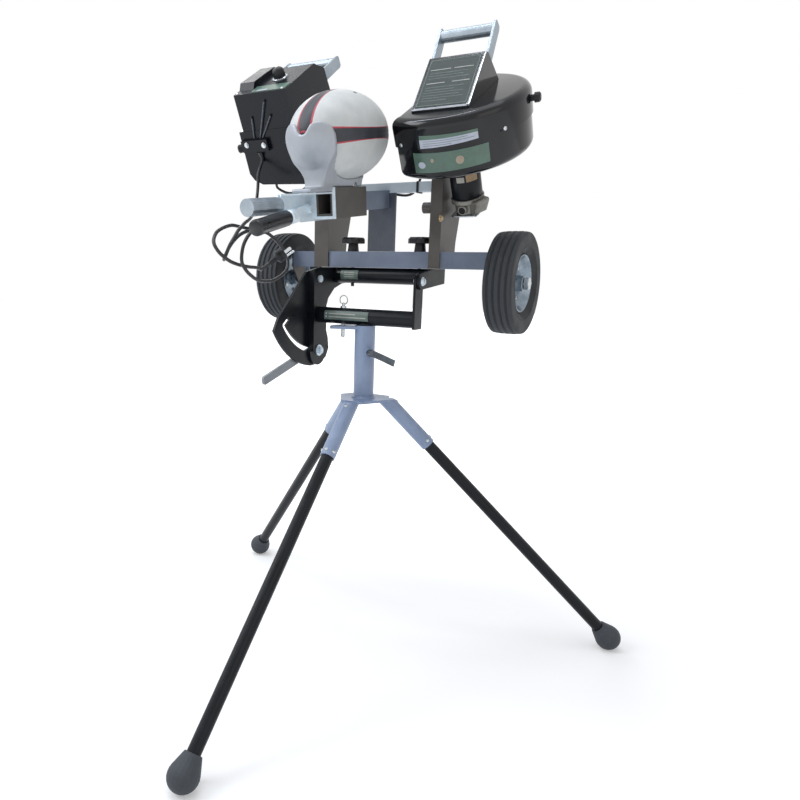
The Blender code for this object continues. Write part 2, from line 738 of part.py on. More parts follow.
def upright(side, web_x, sign, flange_width):
    """An angle plate: a web square to the bar and a flange that laps the bar's front."""
    front = BAR_FRONT - CLEAR - SHEET_THICK
    web = (web_x - SHEET_THICK, web_x) if sign > 0 else (web_x, web_x + SHEET_THICK)
    unit_x = UNIT_X * sign
    top_front = in_unit(0, MOUNT_UNDER + 0.002)
    slope = unit_sine / unit_cosine
    rise = top_front[1] - slope * top_front[0]
    foot = BAR_TOP + CLEAR
    outline = [(front, foot), (UPRIGHT_WAIST, foot), (UPRIGHT_WAIST + 0.003, foot + 0.025)]
    outline += [(UPRIGHT_WAIST + 0.012, foot + 0.055), (UPRIGHT_REACH - 0.003, 1.070)]
    outline += [(UPRIGHT_REACH, 1.100)]
    outline += [(UPRIGHT_REACH, rise + slope * UPRIGHT_REACH), (front, rise + slope * front)]
    base = (0, 0, 0)
    plate = add("upright_" + side, prism(outline, *web), GREY, "tilt_axis", base)
    flange_low = BAR_Z - BAR_SIZE / 2
    flange_top = rise + slope * front
    edge = web_x - flange_width
    flange_outline = [(edge, flange_low), (web[1], flange_low), (web[1], flange_top)]
    if sign > 0:
        flange_outline += [(edge, flange_top)]
    else:
        lip = UPRIGHT_LEFT_X - 0.0025
        flange_outline += [(lip, flange_top), (lip, 1.092), (edge + 0.004, 1.083), (edge, 1.079)]
    weld(plate, prism(flange_outline, front, front + SHEET_THICK, "y"))
    mount = block((-0.047, 0.044), (-0.046, 0.118), (MOUNT_UNDER, MOUNT_TOP))
    if sign < 0:
        mount = block((-0.044, 0.047), (-0.046, 0.118), (MOUNT_UNDER, MOUNT_TOP))
    centre = (unit_x, UNIT_Y, UNIT_Z - PIVOT_Z)
    weld(plate, mount, centre, (UNIT_TILT, 0, 0))
    if sign > 0:
        boss = rod(0.0125, 0.098, web[0] + 0.002, 16, "x")
        weld(plate, boss, (0, front + SHEET_THICK + 0.0135, 1.081 - PIVOT_Z))
    cut(plate, rod(MOTOR_PILOT + CLEAR, MOUNT_UNDER - 0.01, MOUNT_TOP + 0.01, 24), centre, (UNIT_TILT, 0, 0))
    return plate


def head_frame():
    main_bar()
    upright("right", UPRIGHT_RIGHT_X, 1, UPRIGHT_FLANGE_RIGHT)
    upright("left", UPRIGHT_LEFT_X, -1, UPRIGHT_FLANGE_LEFT)
    half = CROSS_BAR_SIZE / 2
    post = block(
        (POST_LEFT, POST_RIGHT), (POST_FRONT, POST_FRONT + PLATE_THICK),
        (BAR_TOP + CLEAR, CROSS_BAR_Z - half - CLEAR),
    )
    add("middle_post", post, LAVENDER, "tilt_axis", (0, 0, 0))
    left_end = UPRIGHT_LEFT_X + SHEET_THICK + CLEAR
    right_end = UPRIGHT_RIGHT_X - SHEET_THICK - CLEAR
    middle = POST_FRONT + half
    cross_at = (0, middle, CROSS_BAR_Z)
    cross = block((left_end, right_end), (-half, half), (-half, half))
    bar = add("cross_bar", cross, LAVENDER, "tilt_axis", cross_at)
    room = half - 0.002
    cut(bar, block((left_end - 0.01, right_end + 0.01), (-room, room), (-room, room)))


head_frame()


# Star knobs that clamp the bar to the tilt tube

def star_knob(side, x):
    holder("star_axis_" + side, (x, BAR_Y, BAR_TOP + CLEAR), "tilt_axis")
    points = 30

    def ring(radius, z, lobes=0.0):
        turn = [2 * math.pi * i / points for i in range(points)]
        reach = [radius * (1 - lobes * (0.5 - 0.5 * math.cos(6 * a))) for a in turn]
        return [(r * math.cos(a), r * math.sin(a), z) for r, a in zip(reach, turn)]

    stud_end = -BAR_SIZE - 2 * YOKE_TUBE_RADIUS - 0.008
    under = KNOB_STEM_HEIGHT
    top = KNOB_STEM_HEIGHT + KNOB_HEAD_HEIGHT
    rings = [
        ring(KNOB_STUD_RADIUS, stud_end), ring(KNOB_STUD_RADIUS, 0), ring(KNOB_STEM_RADIUS, 0),
        ring(KNOB_STEM_RADIUS - 0.002, under), ring(KNOB_HEAD_RADIUS, under + 0.001, 0.16),
        ring(KNOB_HEAD_RADIUS, top - 0.004, 0.16), ring(KNOB_HEAD_RADIUS - 0.004, top, 0.14),
    ]
    add("star_knob_" + side, loft(rings), KNOB, "star_axis_" + side)


star_knob("right", KNOB_X)
star_knob("left", -KNOB_X)


# Transport wheels

def tyre_profile():
    """Section of a ribbed pneumatic tyre, as (radius, offset across)."""
    half = TYRE_WIDTH / 2
    bead = RIM_RADIUS + CLEAR
    bead_half = RIM_WIDTH / 2 - 0.004
    groove = TYRE_RADIUS - 0.004
    tread = [(TYRE_RADIUS - 0.006, -half + 0.008)]
    for middle in (-0.0135, 0.0, 0.0135):
        tread += [(TYRE_RADIUS, middle - 0.0045), (groove, middle - 0.0015)]
        tread += [(groove, middle + 0.0015), (TYRE_RADIUS, middle + 0.0045)]
    tread += [(TYRE_RADIUS - 0.006, half - 0.008)]
    wall = [(TYRE_RADIUS - 0.022, half), (bead + 0.014, half - 0.003), (bead, bead_half)]
    return [(bead, -bead_half), (bead + 0.014, -half + 0.003), (TYRE_RADIUS - 0.022, -half)] + tread + wall


def rim_profile():
    lip = RIM_WIDTH / 2
    seat = lip - 0.004
    dish = 0.010
    bore = AXLE_RADIUS + CLEAR
    return [
        (bore, -RIM_HUB_HALF), (0.019, -RIM_HUB_HALF), (0.019, -dish), (0.050, -dish), (0.058, -seat),
        (RIM_RADIUS - 0.001, -lip), (RIM_RADIUS, -seat), (RIM_RADIUS, seat), (RIM_RADIUS - 0.001, lip),
        (0.058, seat), (0.050, dish), (0.019, dish), (0.019, RIM_HUB_HALF), (bore, RIM_HUB_HALF),
    ]


def axle_bracket(side, sign, bar_end, wheel_x):
    """A plate on the bar's end that carries the wheel's stub axle."""
    inner = bar_end + CLEAR
    outer = inner + 0.0035
    half = BAR_SIZE / 2
    outline = [(BAR_Y - half, BAR_Z + half), (BAR_Y - half, BAR_Z - half)]
    outline += arc((WHEEL_Y, WHEEL_Z), 0.020, 200, 360, 8)
    outline += [(BAR_Y + half + 0.014, BAR_Z - half), (BAR_Y + half, BAR_Z + half)]
    low, high = sorted((inner * sign, outer * sign))
    plate = add("wheel_axle_" + side, prism(outline, low, high), STEEL, "tilt_axis", (0, 0, 0))
    hub_start = wheel_x - RIM_HUB_HALF - CLEAR
    hub_end = wheel_x + RIM_HUB_HALF + CLEAR
    profile = [
        (0, outer - 0.002), (0.014, outer - 0.002), (0.014, hub_start), (AXLE_RADIUS, hub_start),
        (AXLE_RADIUS, hub_end), (0.0125, hub_end), (0.0125, hub_end + 0.006), (0.009, hub_end + 0.010),
        (0, hub_end + 0.011),
    ]
    turn = (0, 0, 0) if sign > 0 else (0, 0, 180)
    weld(plate, turned(profile, 16, "x"), (0, WHEEL_Y, WHEEL_Z - PIVOT_Z), turn)


def transport_wheel(side, sign, bar_end, wheel_x):
    name = "wheel_axis_" + side
    holder(name, (wheel_x, WHEEL_Y, WHEEL_Z), "tilt_axis")
    add("tyre_" + side, turned(tyre_profile(), 32, "x", closed=True), RUBBER, name)
    add("rim_" + side, turned(rim_profile(), 24, "x", closed=True), CAST, name)
    axle_bracket(side, sign, abs(bar_end), abs(wheel_x))


transport_wheel("right", 1, BAR_RIGHT, WHEEL_RIGHT_X)
transport_wheel("left", -1, BAR_LEFT, WHEEL_LEFT_X)


# Throwing units: cover halves, motor, spinning wheel, housings and carry handle

def cover_outline(sign, shrink):
    """Plan of a cover: a circle with a flat side toward the ball, and on the left a flat back too."""
    radius = COVER_RADIUS - shrink
    flat = COVER_FLAT - shrink
    open_angle = math.degrees(math.acos(flat / radius))
    if sign > 0:
        start = 180 + open_angle
        points = arc((0, 0), radius, start, 540 - open_angle, 26)
        return fillet(points, 0.012 - shrink / 2, 2)
    rear = COVER_REAR_FLAT - shrink
    rear_angle = math.degrees(math.acos(rear / radius))
    points = arc((0, 0), radius, open_angle, 270 - rear_angle, 20)
    if math.hypot(flat, rear) < radius:
        points.append((flat, -rear))
    else:
        points += arc((0, 0), radius, 270 + rear_angle, 360 - open_angle, 2)
    return fillet(points, max(0.008 - shrink / 2, 0.001), 2)


def cover_ring(sign, shrink, z):
    return [(x, y, z) for x, y in cover_outline(sign, shrink)]


def cover_shell(sign, base, rim, corner, crown):
    """A tray: inner floor, inner wall, rim, outer wall, rounded edge, outer floor."""
    up = 1 if crown > rim else -1
    bend = [(0.0, 0.0), (0.3, 0.7), (1.0, 1.0)]
    wall = COVER_WALL
    rings = [cover_ring(sign, base + corner, crown - up * wall)]
    rings.append(cover_ring(sign, base + wall, crown - up * corner))
    rings.append(cover_ring(sign, base + wall, rim))
    rings.append(cover_ring(sign, base, rim))
    for across, along in bend:
        rings.append(cover_ring(sign, base + corner * across, crown - up * corner * (1 - along)))
    return loft(rings)


def wheel_window(sign):
    """The opening in the flat side, through which the throwing wheel reaches the ball."""
    near, far = sorted((-sign * (COVER_FLAT + 0.01), -sign * (COVER_FLAT - 0.022)))
    half = SPIN_WIDTH / 2 + 0.007
    return block((near, far), (-0.074, 0.074), (-half, half))


def throwing_wheel(side, sign, unit):
    axis = "spin_axis_" + side
    empty = bpy.data.objects.new(axis, None)
    bpy.context.collection.objects.link(empty)
    empty.parent = holders[unit]
    empty["at"] = holders[unit]["at"]
    holders[axis] = empty
    half = SPIN_WIDTH / 2
    inner = SPIN_HUB_RADIUS + CLEAR
    tyre = [
        (inner, -half + 0.006), (SPIN_RADIUS - 0.030, -half), (SPIN_RADIUS - 0.006, -half + 0.002),
        (SPIN_RADIUS, -half + 0.010), (SPIN_RADIUS - 0.004, 0.0), (SPIN_RADIUS, half - 0.010),
        (SPIN_RADIUS - 0.006, half - 0.002), (SPIN_RADIUS - 0.030, half), (inner, half - 0.006),
    ]
    add("throwing_wheel_" + side, turned(tyre, 32, closed=True), RUBBER, axis)
    shaft_end = MOUNT_UNDER - SHAFT_IN_MOTOR
    hub = [
        (0, shaft_end), (SPIN_SHAFT_RADIUS, shaft_end), (SPIN_SHAFT_RADIUS, -0.046), (0.017, -0.046),
        (0.017, -0.012), (0.046, -0.012), (SPIN_HUB_RADIUS, -0.024), (SPIN_HUB_RADIUS, 0.024), (0.046, 0.012),
        (0.017, 0.012), (0.017, 0.024), (0.008, 0.024), (0.008, 0.032), (0, 0.033),
    ]
    add("throwing_hub_" + side, turned(hub, 20), CAST, axis)


def motor(side, unit):
    bore = SPIN_SHAFT_RADIUS + CLEAR
    top = MOUNT_UNDER - CLEAR
    bottom = top - MOTOR_LENGTH
    bell = top - MOTOR_CAN
    well = MOUNT_UNDER - SHAFT_IN_MOTOR - 0.004
    profile = [
        (0, well), (bore, well), (bore, top + 0.003), (MOTOR_PILOT, top + 0.003), (MOTOR_PILOT, top),
        (MOTOR_RADIUS, top), (MOTOR_RADIUS, bell), (MOTOR_RADIUS + 0.003, bell),
        (MOTOR_RADIUS + 0.003, bell - 0.010), (MOTOR_RADIUS - 0.004, bell - 0.014),
        (MOTOR_RADIUS - 0.005, bottom + 0.004), (0.012, bottom), (0, bottom),
    ]
    add("motor_" + side, turned(profile, 24), BLACK, unit)


def housing(outline, x, wall):
    """A box of a side outline with an open underside, as outer and inner prisms."""
    outer = prism(outline, *x)
    inner_outline = inset(outline, wall)
    base = min(z for _, z in outline)
    inner_outline = [(y, z if z > base + 2 * wall else base - 0.01) for y, z in inner_outline]
    return outer, prism(inner_outline, x[0] + wall, x[1] - wall)


def carry_handle(side, unit, x, low_corner, top_corner, below_top, reach):
    """Two flat arms that stand square on a box's front wall, and a round tube between them."""
    handle_x = (x[0] + HANDLE_ARM_THICK, x[1] - HANDLE_ARM_THICK)
    half = HANDLE_TUBE_RADIUS - 0.0005
    outline = [(CLEAR, -half), (reach - 0.006, -half)]
    outline += arc((reach - 0.006, half - 0.006), 0.006, 0, 90, 3) + [(CLEAR, half)]
    outline.insert(2, (reach, 0.004 - half))
    run = Vector(low_corner) - Vector(top_corner)
    root = Vector(top_corner) + run.normalized() * below_top
    lift = math.degrees(math.atan2(run.x, -run.y))
    handle = add("carry_handle_" + side, prism(outline, x[0], handle_x[0]), STEEL, unit)
    local(handle, (0, root.x, root.y), (lift, 0, 0))
    weld(handle, prism(outline, handle_x[1], x[1]))
    tube = rod(HANDLE_TUBE_RADIUS - 0.001, handle_x[0] - 0.002, handle_x[1] + 0.002, 20, "x")
    tube_y = reach - HANDLE_TUBE_RADIUS - 0.0005
    for vertex in tube.vertices:
        vertex.co.y += tube_y
    weld(handle, tube)


def cover_knob(side, unit, angle, z):
    axis = "cover_knob_axis_" + side
    empty = bpy.data.objects.new(axis, None)
    bpy.context.collection.objects.link(empty)
    empty.parent = holders[unit]
    empty.location = (0, 0, z)
    empty.rotation_euler = (0, math.pi / 2, math.radians(angle))
    empty["at"] = holders[unit]["at"]
    holders[axis] = empty
    face = COVER_RADIUS + CLEAR
    profile = [
        (0, COVER_RADIUS - 0.010), (0.003, COVER_RADIUS - 0.010), (0.003, face), (0.0065, face),
        (0.0065, face + 0.005), (0.0100, face + 0.006), (0.0100, face + 0.015), (0.007, face + 0.018),
        (0, face + 0.018),
    ]
    add("cover_knob_" + side, turned(profile, 14), KNOB, axis)


def knob_hole(cover, angle, z):
    hole = rod(0.003 + CLEAR, COVER_RADIUS - 0.02, COVER_RADIUS + 0.02, 10)
    cut(cover, hole, (0, 0, z), (0, 90, angle))


PANEL_X = (-0.058, 0.0655)
PANEL_REAR = -0.095
CONTROL_X = (-0.075, 0.064)
KNOB_RIGHT = (8, 0.034)
KNOB_LEFT = (180 + 27, 0.0140)
ROOF_FRONT = (-0.001, 0.1615)
ROOF_REAR = (-0.1335, 0.1475)
CLAMP_BACK = -COVER_REAR_FLAT - 0.0135
CLAMP_FOOT = 0.026
ROOF_SLOPE = math.degrees(math.atan2(ROOF_FRONT[1] - ROOF_REAR[1], ROOF_FRONT[0] - ROOF_REAR[0]))
DIAL_Y = -0.062
DIAL_FALL = (DIAL_Y - ROOF_FRONT[0]) * math.tan(math.radians(ROOF_SLOPE))
DIAL_SEAT = (0.009, DIAL_Y, ROOF_FRONT[1] + DIAL_FALL)


def throwing_unit(side, sign):
    unit = "unit_" + side
    holder(unit, (UNIT_X * sign, UNIT_Y, UNIT_Z), "tilt_axis", (UNIT_TILT, 0, 0))
    low = cover_shell(sign, COVER_WALL + CLEAR, COVER_SEAM + COVER_LAP, COVER_ROUND_LOW, -COVER_HALF)
    lower = add("lower_cover_" + side, low, SHELL, unit)
    high = cover_shell(sign, 0.0, COVER_SEAM, COVER_ROUND_TOP, COVER_HALF)
    upper = add("upper_cover_" + side, high, SHELL, unit)
    cut(lower, wheel_window(sign))
    cut(upper, wheel_window(sign))
    cut(lower, rod(MOTOR_PILOT + 0.002, -COVER_HALF - 0.01, -COVER_HALF + 0.01, 20))
    angle, z = KNOB_RIGHT if sign > 0 else KNOB_LEFT
    knob_hole(upper, angle, z)
    cover_knob(side, unit, angle, z)
    throwing_wheel(side, sign, unit)
    motor(side, unit)


def panel_box():
    floor = COVER_HALF + CLEAR
    low_corner = (0.083, floor)
    top_corner = (0.037, 0.126)
    outline = [low_corner, top_corner, (0.029, 0.130), (PANEL_REAR, floor + 0.003), (PANEL_REAR, floor)]
    outer, inner = housing(outline, PANEL_X, 0.0025)
    box = add("panel_box", outer, SHELL, "unit_right")
    cut(box, inner)
    carry_handle("right", "unit_right", PANEL_X, low_corner, top_corner, 0.0135, HANDLE_REACH_RIGHT)


def control_box():
    floor = COVER_HALF + CLEAR
    rear = COVER_REAR_FLAT + CLEAR
    low_corner = (0.0466, floor)
    top_corner = (0.037, 0.1411)
    outline = [low_corner, top_corner, ROOF_FRONT, ROOF_REAR, (-rear - 0.003, floor)]
    outer, inner = housing(outline, CONTROL_X, 0.003)
    box = add("control_box", outer, SHELL, "unit_left")
    cut(box, inner)
    apron = [
        (-0.086, 0.070), (-0.091, -0.026), (-0.082, -0.042), (-0.062, -0.053), (0.056, -0.057),
        (0.062, -0.052), (0.064, 0.070),
    ]
    weld(box, prism(apron, -rear - 0.004, -rear, "y"))
    weld(box, block((-0.083, -0.011), (CLAMP_BACK, -rear - 0.003), (CLAMP_FOOT, CLAMP_FOOT + 0.026)))
    roof = [(-0.112, 0.148), (-0.004, 0.158), (-0.012, 0.169), (-0.100, 0.163)]
    weld(box, prism(roof, -0.073, -0.034))
    cut(box, rod(0.003 + CLEAR, -0.02, 0.02, 12), DIAL_SEAT, (ROOF_SLOPE, 0, 0))
    carry_handle("left", "unit_left", CONTROL_X, low_corner, top_corner, 0.0135, HANDLE_REACH_LEFT)


def speed_dial():
    axis = "dial_axis"
    empty = bpy.data.objects.new(axis, None)
    bpy.context.collection.objects.link(empty)
    empty.parent = holders["unit_left"]
    empty.location = DIAL_SEAT
    empty.rotation_euler = (math.radians(ROOF_SLOPE), 0, 0)
    empty["at"] = holders["unit_left"]["at"]
    holders[axis] = empty
    profile = [
        (0, -0.012), (0.003, -0.012), (0.003, CLEAR), (0.0135, CLEAR), (0.0135, 0.006), (0.011, 0.008),
        (0.010, 0.018), (0.008, 0.020), (0, 0.020),
    ]
    add("speed_dial", turned(profile, 16), KNOB, axis)


throwing_unit("right", 1)
throwing_unit("left", -1)
panel_box()
control_box()
speed_dial()


# Feed rail and ball carriage

feed_sine = math.sin(math.radians(FEED_TILT))
feed_cosine = math.cos(math.radians(FEED_TILT))
RAIL_WIDTH = SLEEVE_WIDTH - 2 * SLEEVE_WALL - 2 * CLEAR
RAIL_HEIGHT = SLEEVE_HEIGHT - 2 * SLEEVE_WALL - 2 * CLEAR


def along(y, rise=0.0):
    """World (y, z) of a point on the rail's centre line, `rise` above it."""
    run = (y - RAIL_Y) / feed_cosine
    return y - rise * feed_sine, RAIL_Z + run * feed_sine + rise * feed_cosine


def rail_section(y_from, y_to, rise_from, rise_to, square=True):
    """Side outline of a stretch of the rail or sleeve."""
    corners = [along(y_from, rise_from), along(y_to, rise_from), along(y_to, rise_to), along(y_from, rise_to)]
    if not square:
        corners[1] = (y_to, corners[1][1])
        corners[2] = (y_to, corners[2][1])
    return corners


def slide_rail():
    end = POST_FRONT - CLEAR
    half = RAIL_HEIGHT / 2
    outline = rail_section(RAIL_REAR, end, -half, half, square=False)
    add("slide_rail", prism(outline, -RAIL_WIDTH / 2, RAIL_WIDTH / 2), LAVENDER, "tilt_axis", (0, 0, 0))


holder("carriage", (0, BALL_Y, BALL_Z), "tilt_axis")


def carriage_sleeve():
    half = SLEEVE_HEIGHT / 2
    wide = SLEEVE_WIDTH / 2
    outline = rail_section(SLEEVE_FROM, SLEEVE_TO, -half, half)
    sleeve = add("carriage_sleeve", prism(outline, -wide, wide), GREY, "carriage", (0, 0, 0))
    bore = rail_section(SLEEVE_FROM - 0.02, SLEEVE_TO + 0.02, -half + SLEEVE_WALL, half - SLEEVE_WALL)
    cut(sleeve, prism(bore, -wide + SLEEVE_WALL, wide - SLEEVE_WALL))


def ball_mesh(grow, around, ends):
    profile = []
    for i in range(ends + 1):
        angle = math.pi * i / ends - math.pi / 2
        profile.append(((BALL_RADIUS + grow) * math.cos(angle), (BALL_HALF_LENGTH + grow) * math.sin(angle)))
    profile[0] = (0, profile[0][1])
    profile[-1] = (0, profile[-1][1])
    return turned(profile, around, "y")


def cradle_back_outline():
    """Rear view of the cradle: two round horns, a notch between them and a waist below."""
    half = [(0.0, 1.192), (0.006, 1.1935), (0.011, 1.200), (0.015, 1.209), (0.022, 1.2145), (0.032, 1.2165)]
    half += [(0.043, 1.2145), (0.052, 1.207), (0.0575, 1.194), (0.0575, 1.180), (0.054, 1.164), (0.047, 1.151)]
    half += [(0.039, 1.140), (0.031, 1.130), (0.025, 1.119), (0.0225, 1.108), (0.0225, 1.080)]
    return half + [(-x, z) for x, z in reversed(half[1:])]


def cradle_side_outline():
    """Side view of the cradle: tall back, and a low trough that runs forward under the ball."""
    return [
        (-0.300, 1.060), (-0.066, 1.060), (-0.063, 1.143), (-0.100, 1.133), (-0.140, 1.125), (-0.171, 1.1275),
        (-0.2065, 1.141), (-0.228, 1.167), (-0.2355, 1.195), (-0.238, 1.245), (-0.300, 1.245),
    ]


def cradle_plan():
    """Top view of the cradle: the trough narrows toward its front tip."""
    half = [(0.0225, -0.050), (0.0225, -0.075), (0.027, -0.098), (0.040, -0.132), (0.056, -0.165)]
    half += [(0.070, -0.200), (0.070, -0.310)]
    return half + [(-x, y) for x, y in reversed(half)]


def pedestal_outline():
    """Side view of the cradle's foot, from the rail sleeve up into the trough."""
    foot_low = SLEEVE_HEIGHT / 2 + CLEAR
    step = foot_low - 0.0085
    return [
        along(-0.0675, foot_low), (-0.064, 1.150), (-0.130, 1.150), (-0.240, 1.160), (-0.239, 1.146),
        (-0.232, 1.131), (-0.228, 1.115), along(-0.226, foot_low), along(-0.272, foot_low - 0.001),
        along(-0.272, step), along(SLEEVE_FROM - 0.0005, step), along(SLEEVE_FROM - 0.0005, foot_low),
    ]


def ball_cradle():
    cradle = add("ball_cradle", ball_mesh(CRADLE_WALL + 0.001, 32, 20), CAST, "carriage")
    cradle.rotation_euler = (math.radians(BALL_PITCH), 0, 0)
    base = (0, -BALL_Y, -BALL_Z)
    boolean(cradle, guide(prism(pedestal_outline(), -0.05, 0.05), cradle, base), "UNION")
    boolean(cradle, guide(prism(cradle_back_outline(), -0.31, -0.04, "y"), cradle, base), "INTERSECT")
    boolean(cradle, guide(prism(cradle_side_outline(), -0.07, 0.07), cradle, base), "INTERSECT")
    boolean(cradle, guide(prism(cradle_plan(), 1.05, 1.25, "z"), cradle, base), "INTERSECT")
    cut(cradle, ball_mesh(0.0008, 32, 20), (0, 0, 0), (BALL_PITCH, 0, 0))


def rugby_ball():
    holder("ball_seat", (0, BALL_Y, BALL_Z), "carriage")
    ball = add("ball", ball_mesh(0.0, 32, 20), LEATHER, "ball_seat")
    ball.rotation_euler = (math.radians(BALL_PITCH), 0, 0)


def carriage_bracket():
    """A folded zinc plate on the sleeve's left face, with a top flange behind the sleeve."""
    outer = -SLEEVE_WIDTH / 2 - CLEAR - BRACKET_THICK
    web = (outer, outer + BRACKET_THICK)
    top = SLEEVE_HEIGHT / 2 + CLEAR - 0.0085 - CLEAR
    web_outline = [
        along(-0.300, -0.020), along(-0.235, -0.034), along(-0.110, -0.034), along(-0.110, top - 0.004),
        along(-0.186, top), along(-0.300, top), along(-0.306, top - 0.006), along(-0.306, -0.012),
    ]
    bracket = add("carriage_bracket", prism(web_outline, *web), ZINC, "carriage", (0, 0, 0))
    flange = rail_section(-0.298, SLEEVE_FROM - 0.002, top - BRACKET_THICK - 0.0004, top - 0.0004)
    base = (0, -BALL_Y, -BALL_Z)
    weld(bracket, prism(flange, outer + 0.001, 0.020), base)
    pivot = (0, LEVER_PIVOT_Y - BALL_Y, LEVER_PIVOT_Z - BALL_Z)
    cut(bracket, rod(0.004 + CLEAR, outer - 0.01, outer + 0.02, 12, "x"), pivot)


def push_handle():
    """A round bar behind the bracket, with a flat tongue bolted to the bracket's outer face."""
    axis_x = -0.0310
    rise = 0.001
    y, z = along(-0.3075, rise)
    handle = add(
        "push_handle", rod(PUSH_RADIUS, -PUSH_LENGTH, 0, 20, "y"), ZINC, "carriage", (axis_x, y, z)
    )
    handle.rotation_euler = (math.radians(FEED_TILT), 0, 0)
    inner = -SLEEVE_WIDTH / 2 - CLEAR - BRACKET_THICK - CLEAR
    tongue = block((inner - 0.006 - axis_x, inner - axis_x), (-0.004, 0.034), (-0.012, 0.012))
    weld(handle, tongue)


def feed_lever():
    holder("lever_axis", (LEVER_X, LEVER_PIVOT_Y, LEVER_PIVOT_Z), "carriage")
    face = -SLEEVE_WIDTH / 2 + CLEAR - LEVER_X
    link_x = (face, face + 0.006)
    bar_end = 0.008 - GRIP_FROM
    outline = arc((0, 0), 0.011, -90, 90, 6) + [(-0.030, 0.010), (bar_end, 0.007)]
    outline += [(bar_end, -0.007), (-0.030, -0.010)]
    link = add("feed_lever_link", prism(outline, *link_x), ZINC, "lever_axis")
    link.rotation_euler = (math.radians(LEVER_DROP), 0, 0)
    bolt = [
        (0, face - 0.0045), (0.004, face - 0.0045), (0.004, face + 0.005), (0.008, face + 0.005),
        (0.008, face + 0.012), (0, face + 0.012),
    ]
    weld(link, turned(bolt, 12, "x"))
    sleeve = [
        (0, -GRIP_FROM - 0.060), (0.0100, -GRIP_FROM - 0.060), (0.0110, -GRIP_FROM), (0.0140, -0.094),
        (0.0140, -0.074), (0, -0.070),
    ]
    weld(link, turned(sleeve, 16, "y"))
    bore = 0.0116
    grip = [
        (0, -GRIP_TO), (GRIP_RADIUS - 0.004, -GRIP_TO), (GRIP_RADIUS, -GRIP_TO + 0.006),
        (GRIP_RADIUS, -GRIP_FROM - CLEAR), (bore, -GRIP_FROM - CLEAR), (bore, -GRIP_FROM - 0.0605),
        (0, -GRIP_FROM - 0.0605),
    ]
    rubber = add("feed_lever_grip", turned(grip, 20, "y"), RUBBER, "lever_axis")
    rubber.rotation_euler = (math.radians(LEVER_DROP), 0, 0)


slide_rail()
carriage_sleeve()
ball_cradle()
rugby_ball()
carriage_bracket()
push_handle()
feed_lever()


# Cords: the mains lead with its plug, and the cable between the two throwing units

def smooth_route(points, spacing):
    """Even points along a smooth curve through the given ones."""
    knots = [Vector(point) for point in points]
    knots = [2 * knots[0] - knots[1]] + knots + [2 * knots[-1] - knots[-2]]
    fine = []
    for a, b, c, d in zip(knots, knots[1:], knots[2:], knots[3:]):
        for i in range(12):
            t = i / 12
            pull = (2 * a - 5 * b + 4 * c - d) * t * t + (3 * b - a - 3 * c + d) * t ** 3
            fine.append((2 * b + (c - a) * t + pull) / 2)
    fine.append(knots[-2])
    length = sum((after - before).length for before, after in zip(fine, fine[1:]))
    count = round(length / spacing)
    route = [fine[0]]
    walked = 0.0
    for before, after in zip(fine, fine[1:]):
        step = (after - before).length
        while len(route) < count and walked + step >= length * len(route) / count:
            share = (length * len(route) / count - walked) / step
            route.append(before.lerp(after, share))
        walked += step
    route.append(fine[-1])
    return route


def cord(name, points, diameter, spacing):
    """A round cord on the tilting head; the route is in post coordinates."""
    origin = Vector(holders["tilt_axis"]["at"])
    route = smooth_route(points, spacing)
    curve = bpy.data.curves.new(name, "CURVE")
    curve.dimensions = "3D"
    curve.bevel_depth = diameter / 2
    curve.bevel_resolution = 2
    curve.use_fill_caps = True
    spline = curve.splines.new("POLY")
    spline.points.add(len(route) - 1)
    for target, point in zip(spline.points, route):
        target.co = (*(point - origin), 1.0)
    curve.materials.append(RUBBER)
    piece = bpy.data.objects.new(name, curve)
    bpy.context.collection.objects.link(piece)
    piece.parent = holders["tilt_axis"]
    return route


def in_unit_point(side, x, y, z):
    """Post coordinates of a point given in a throwing unit's own frame."""
    world = in_unit(y, z)
    return (UNIT_X * side + x, world[0], world[1])


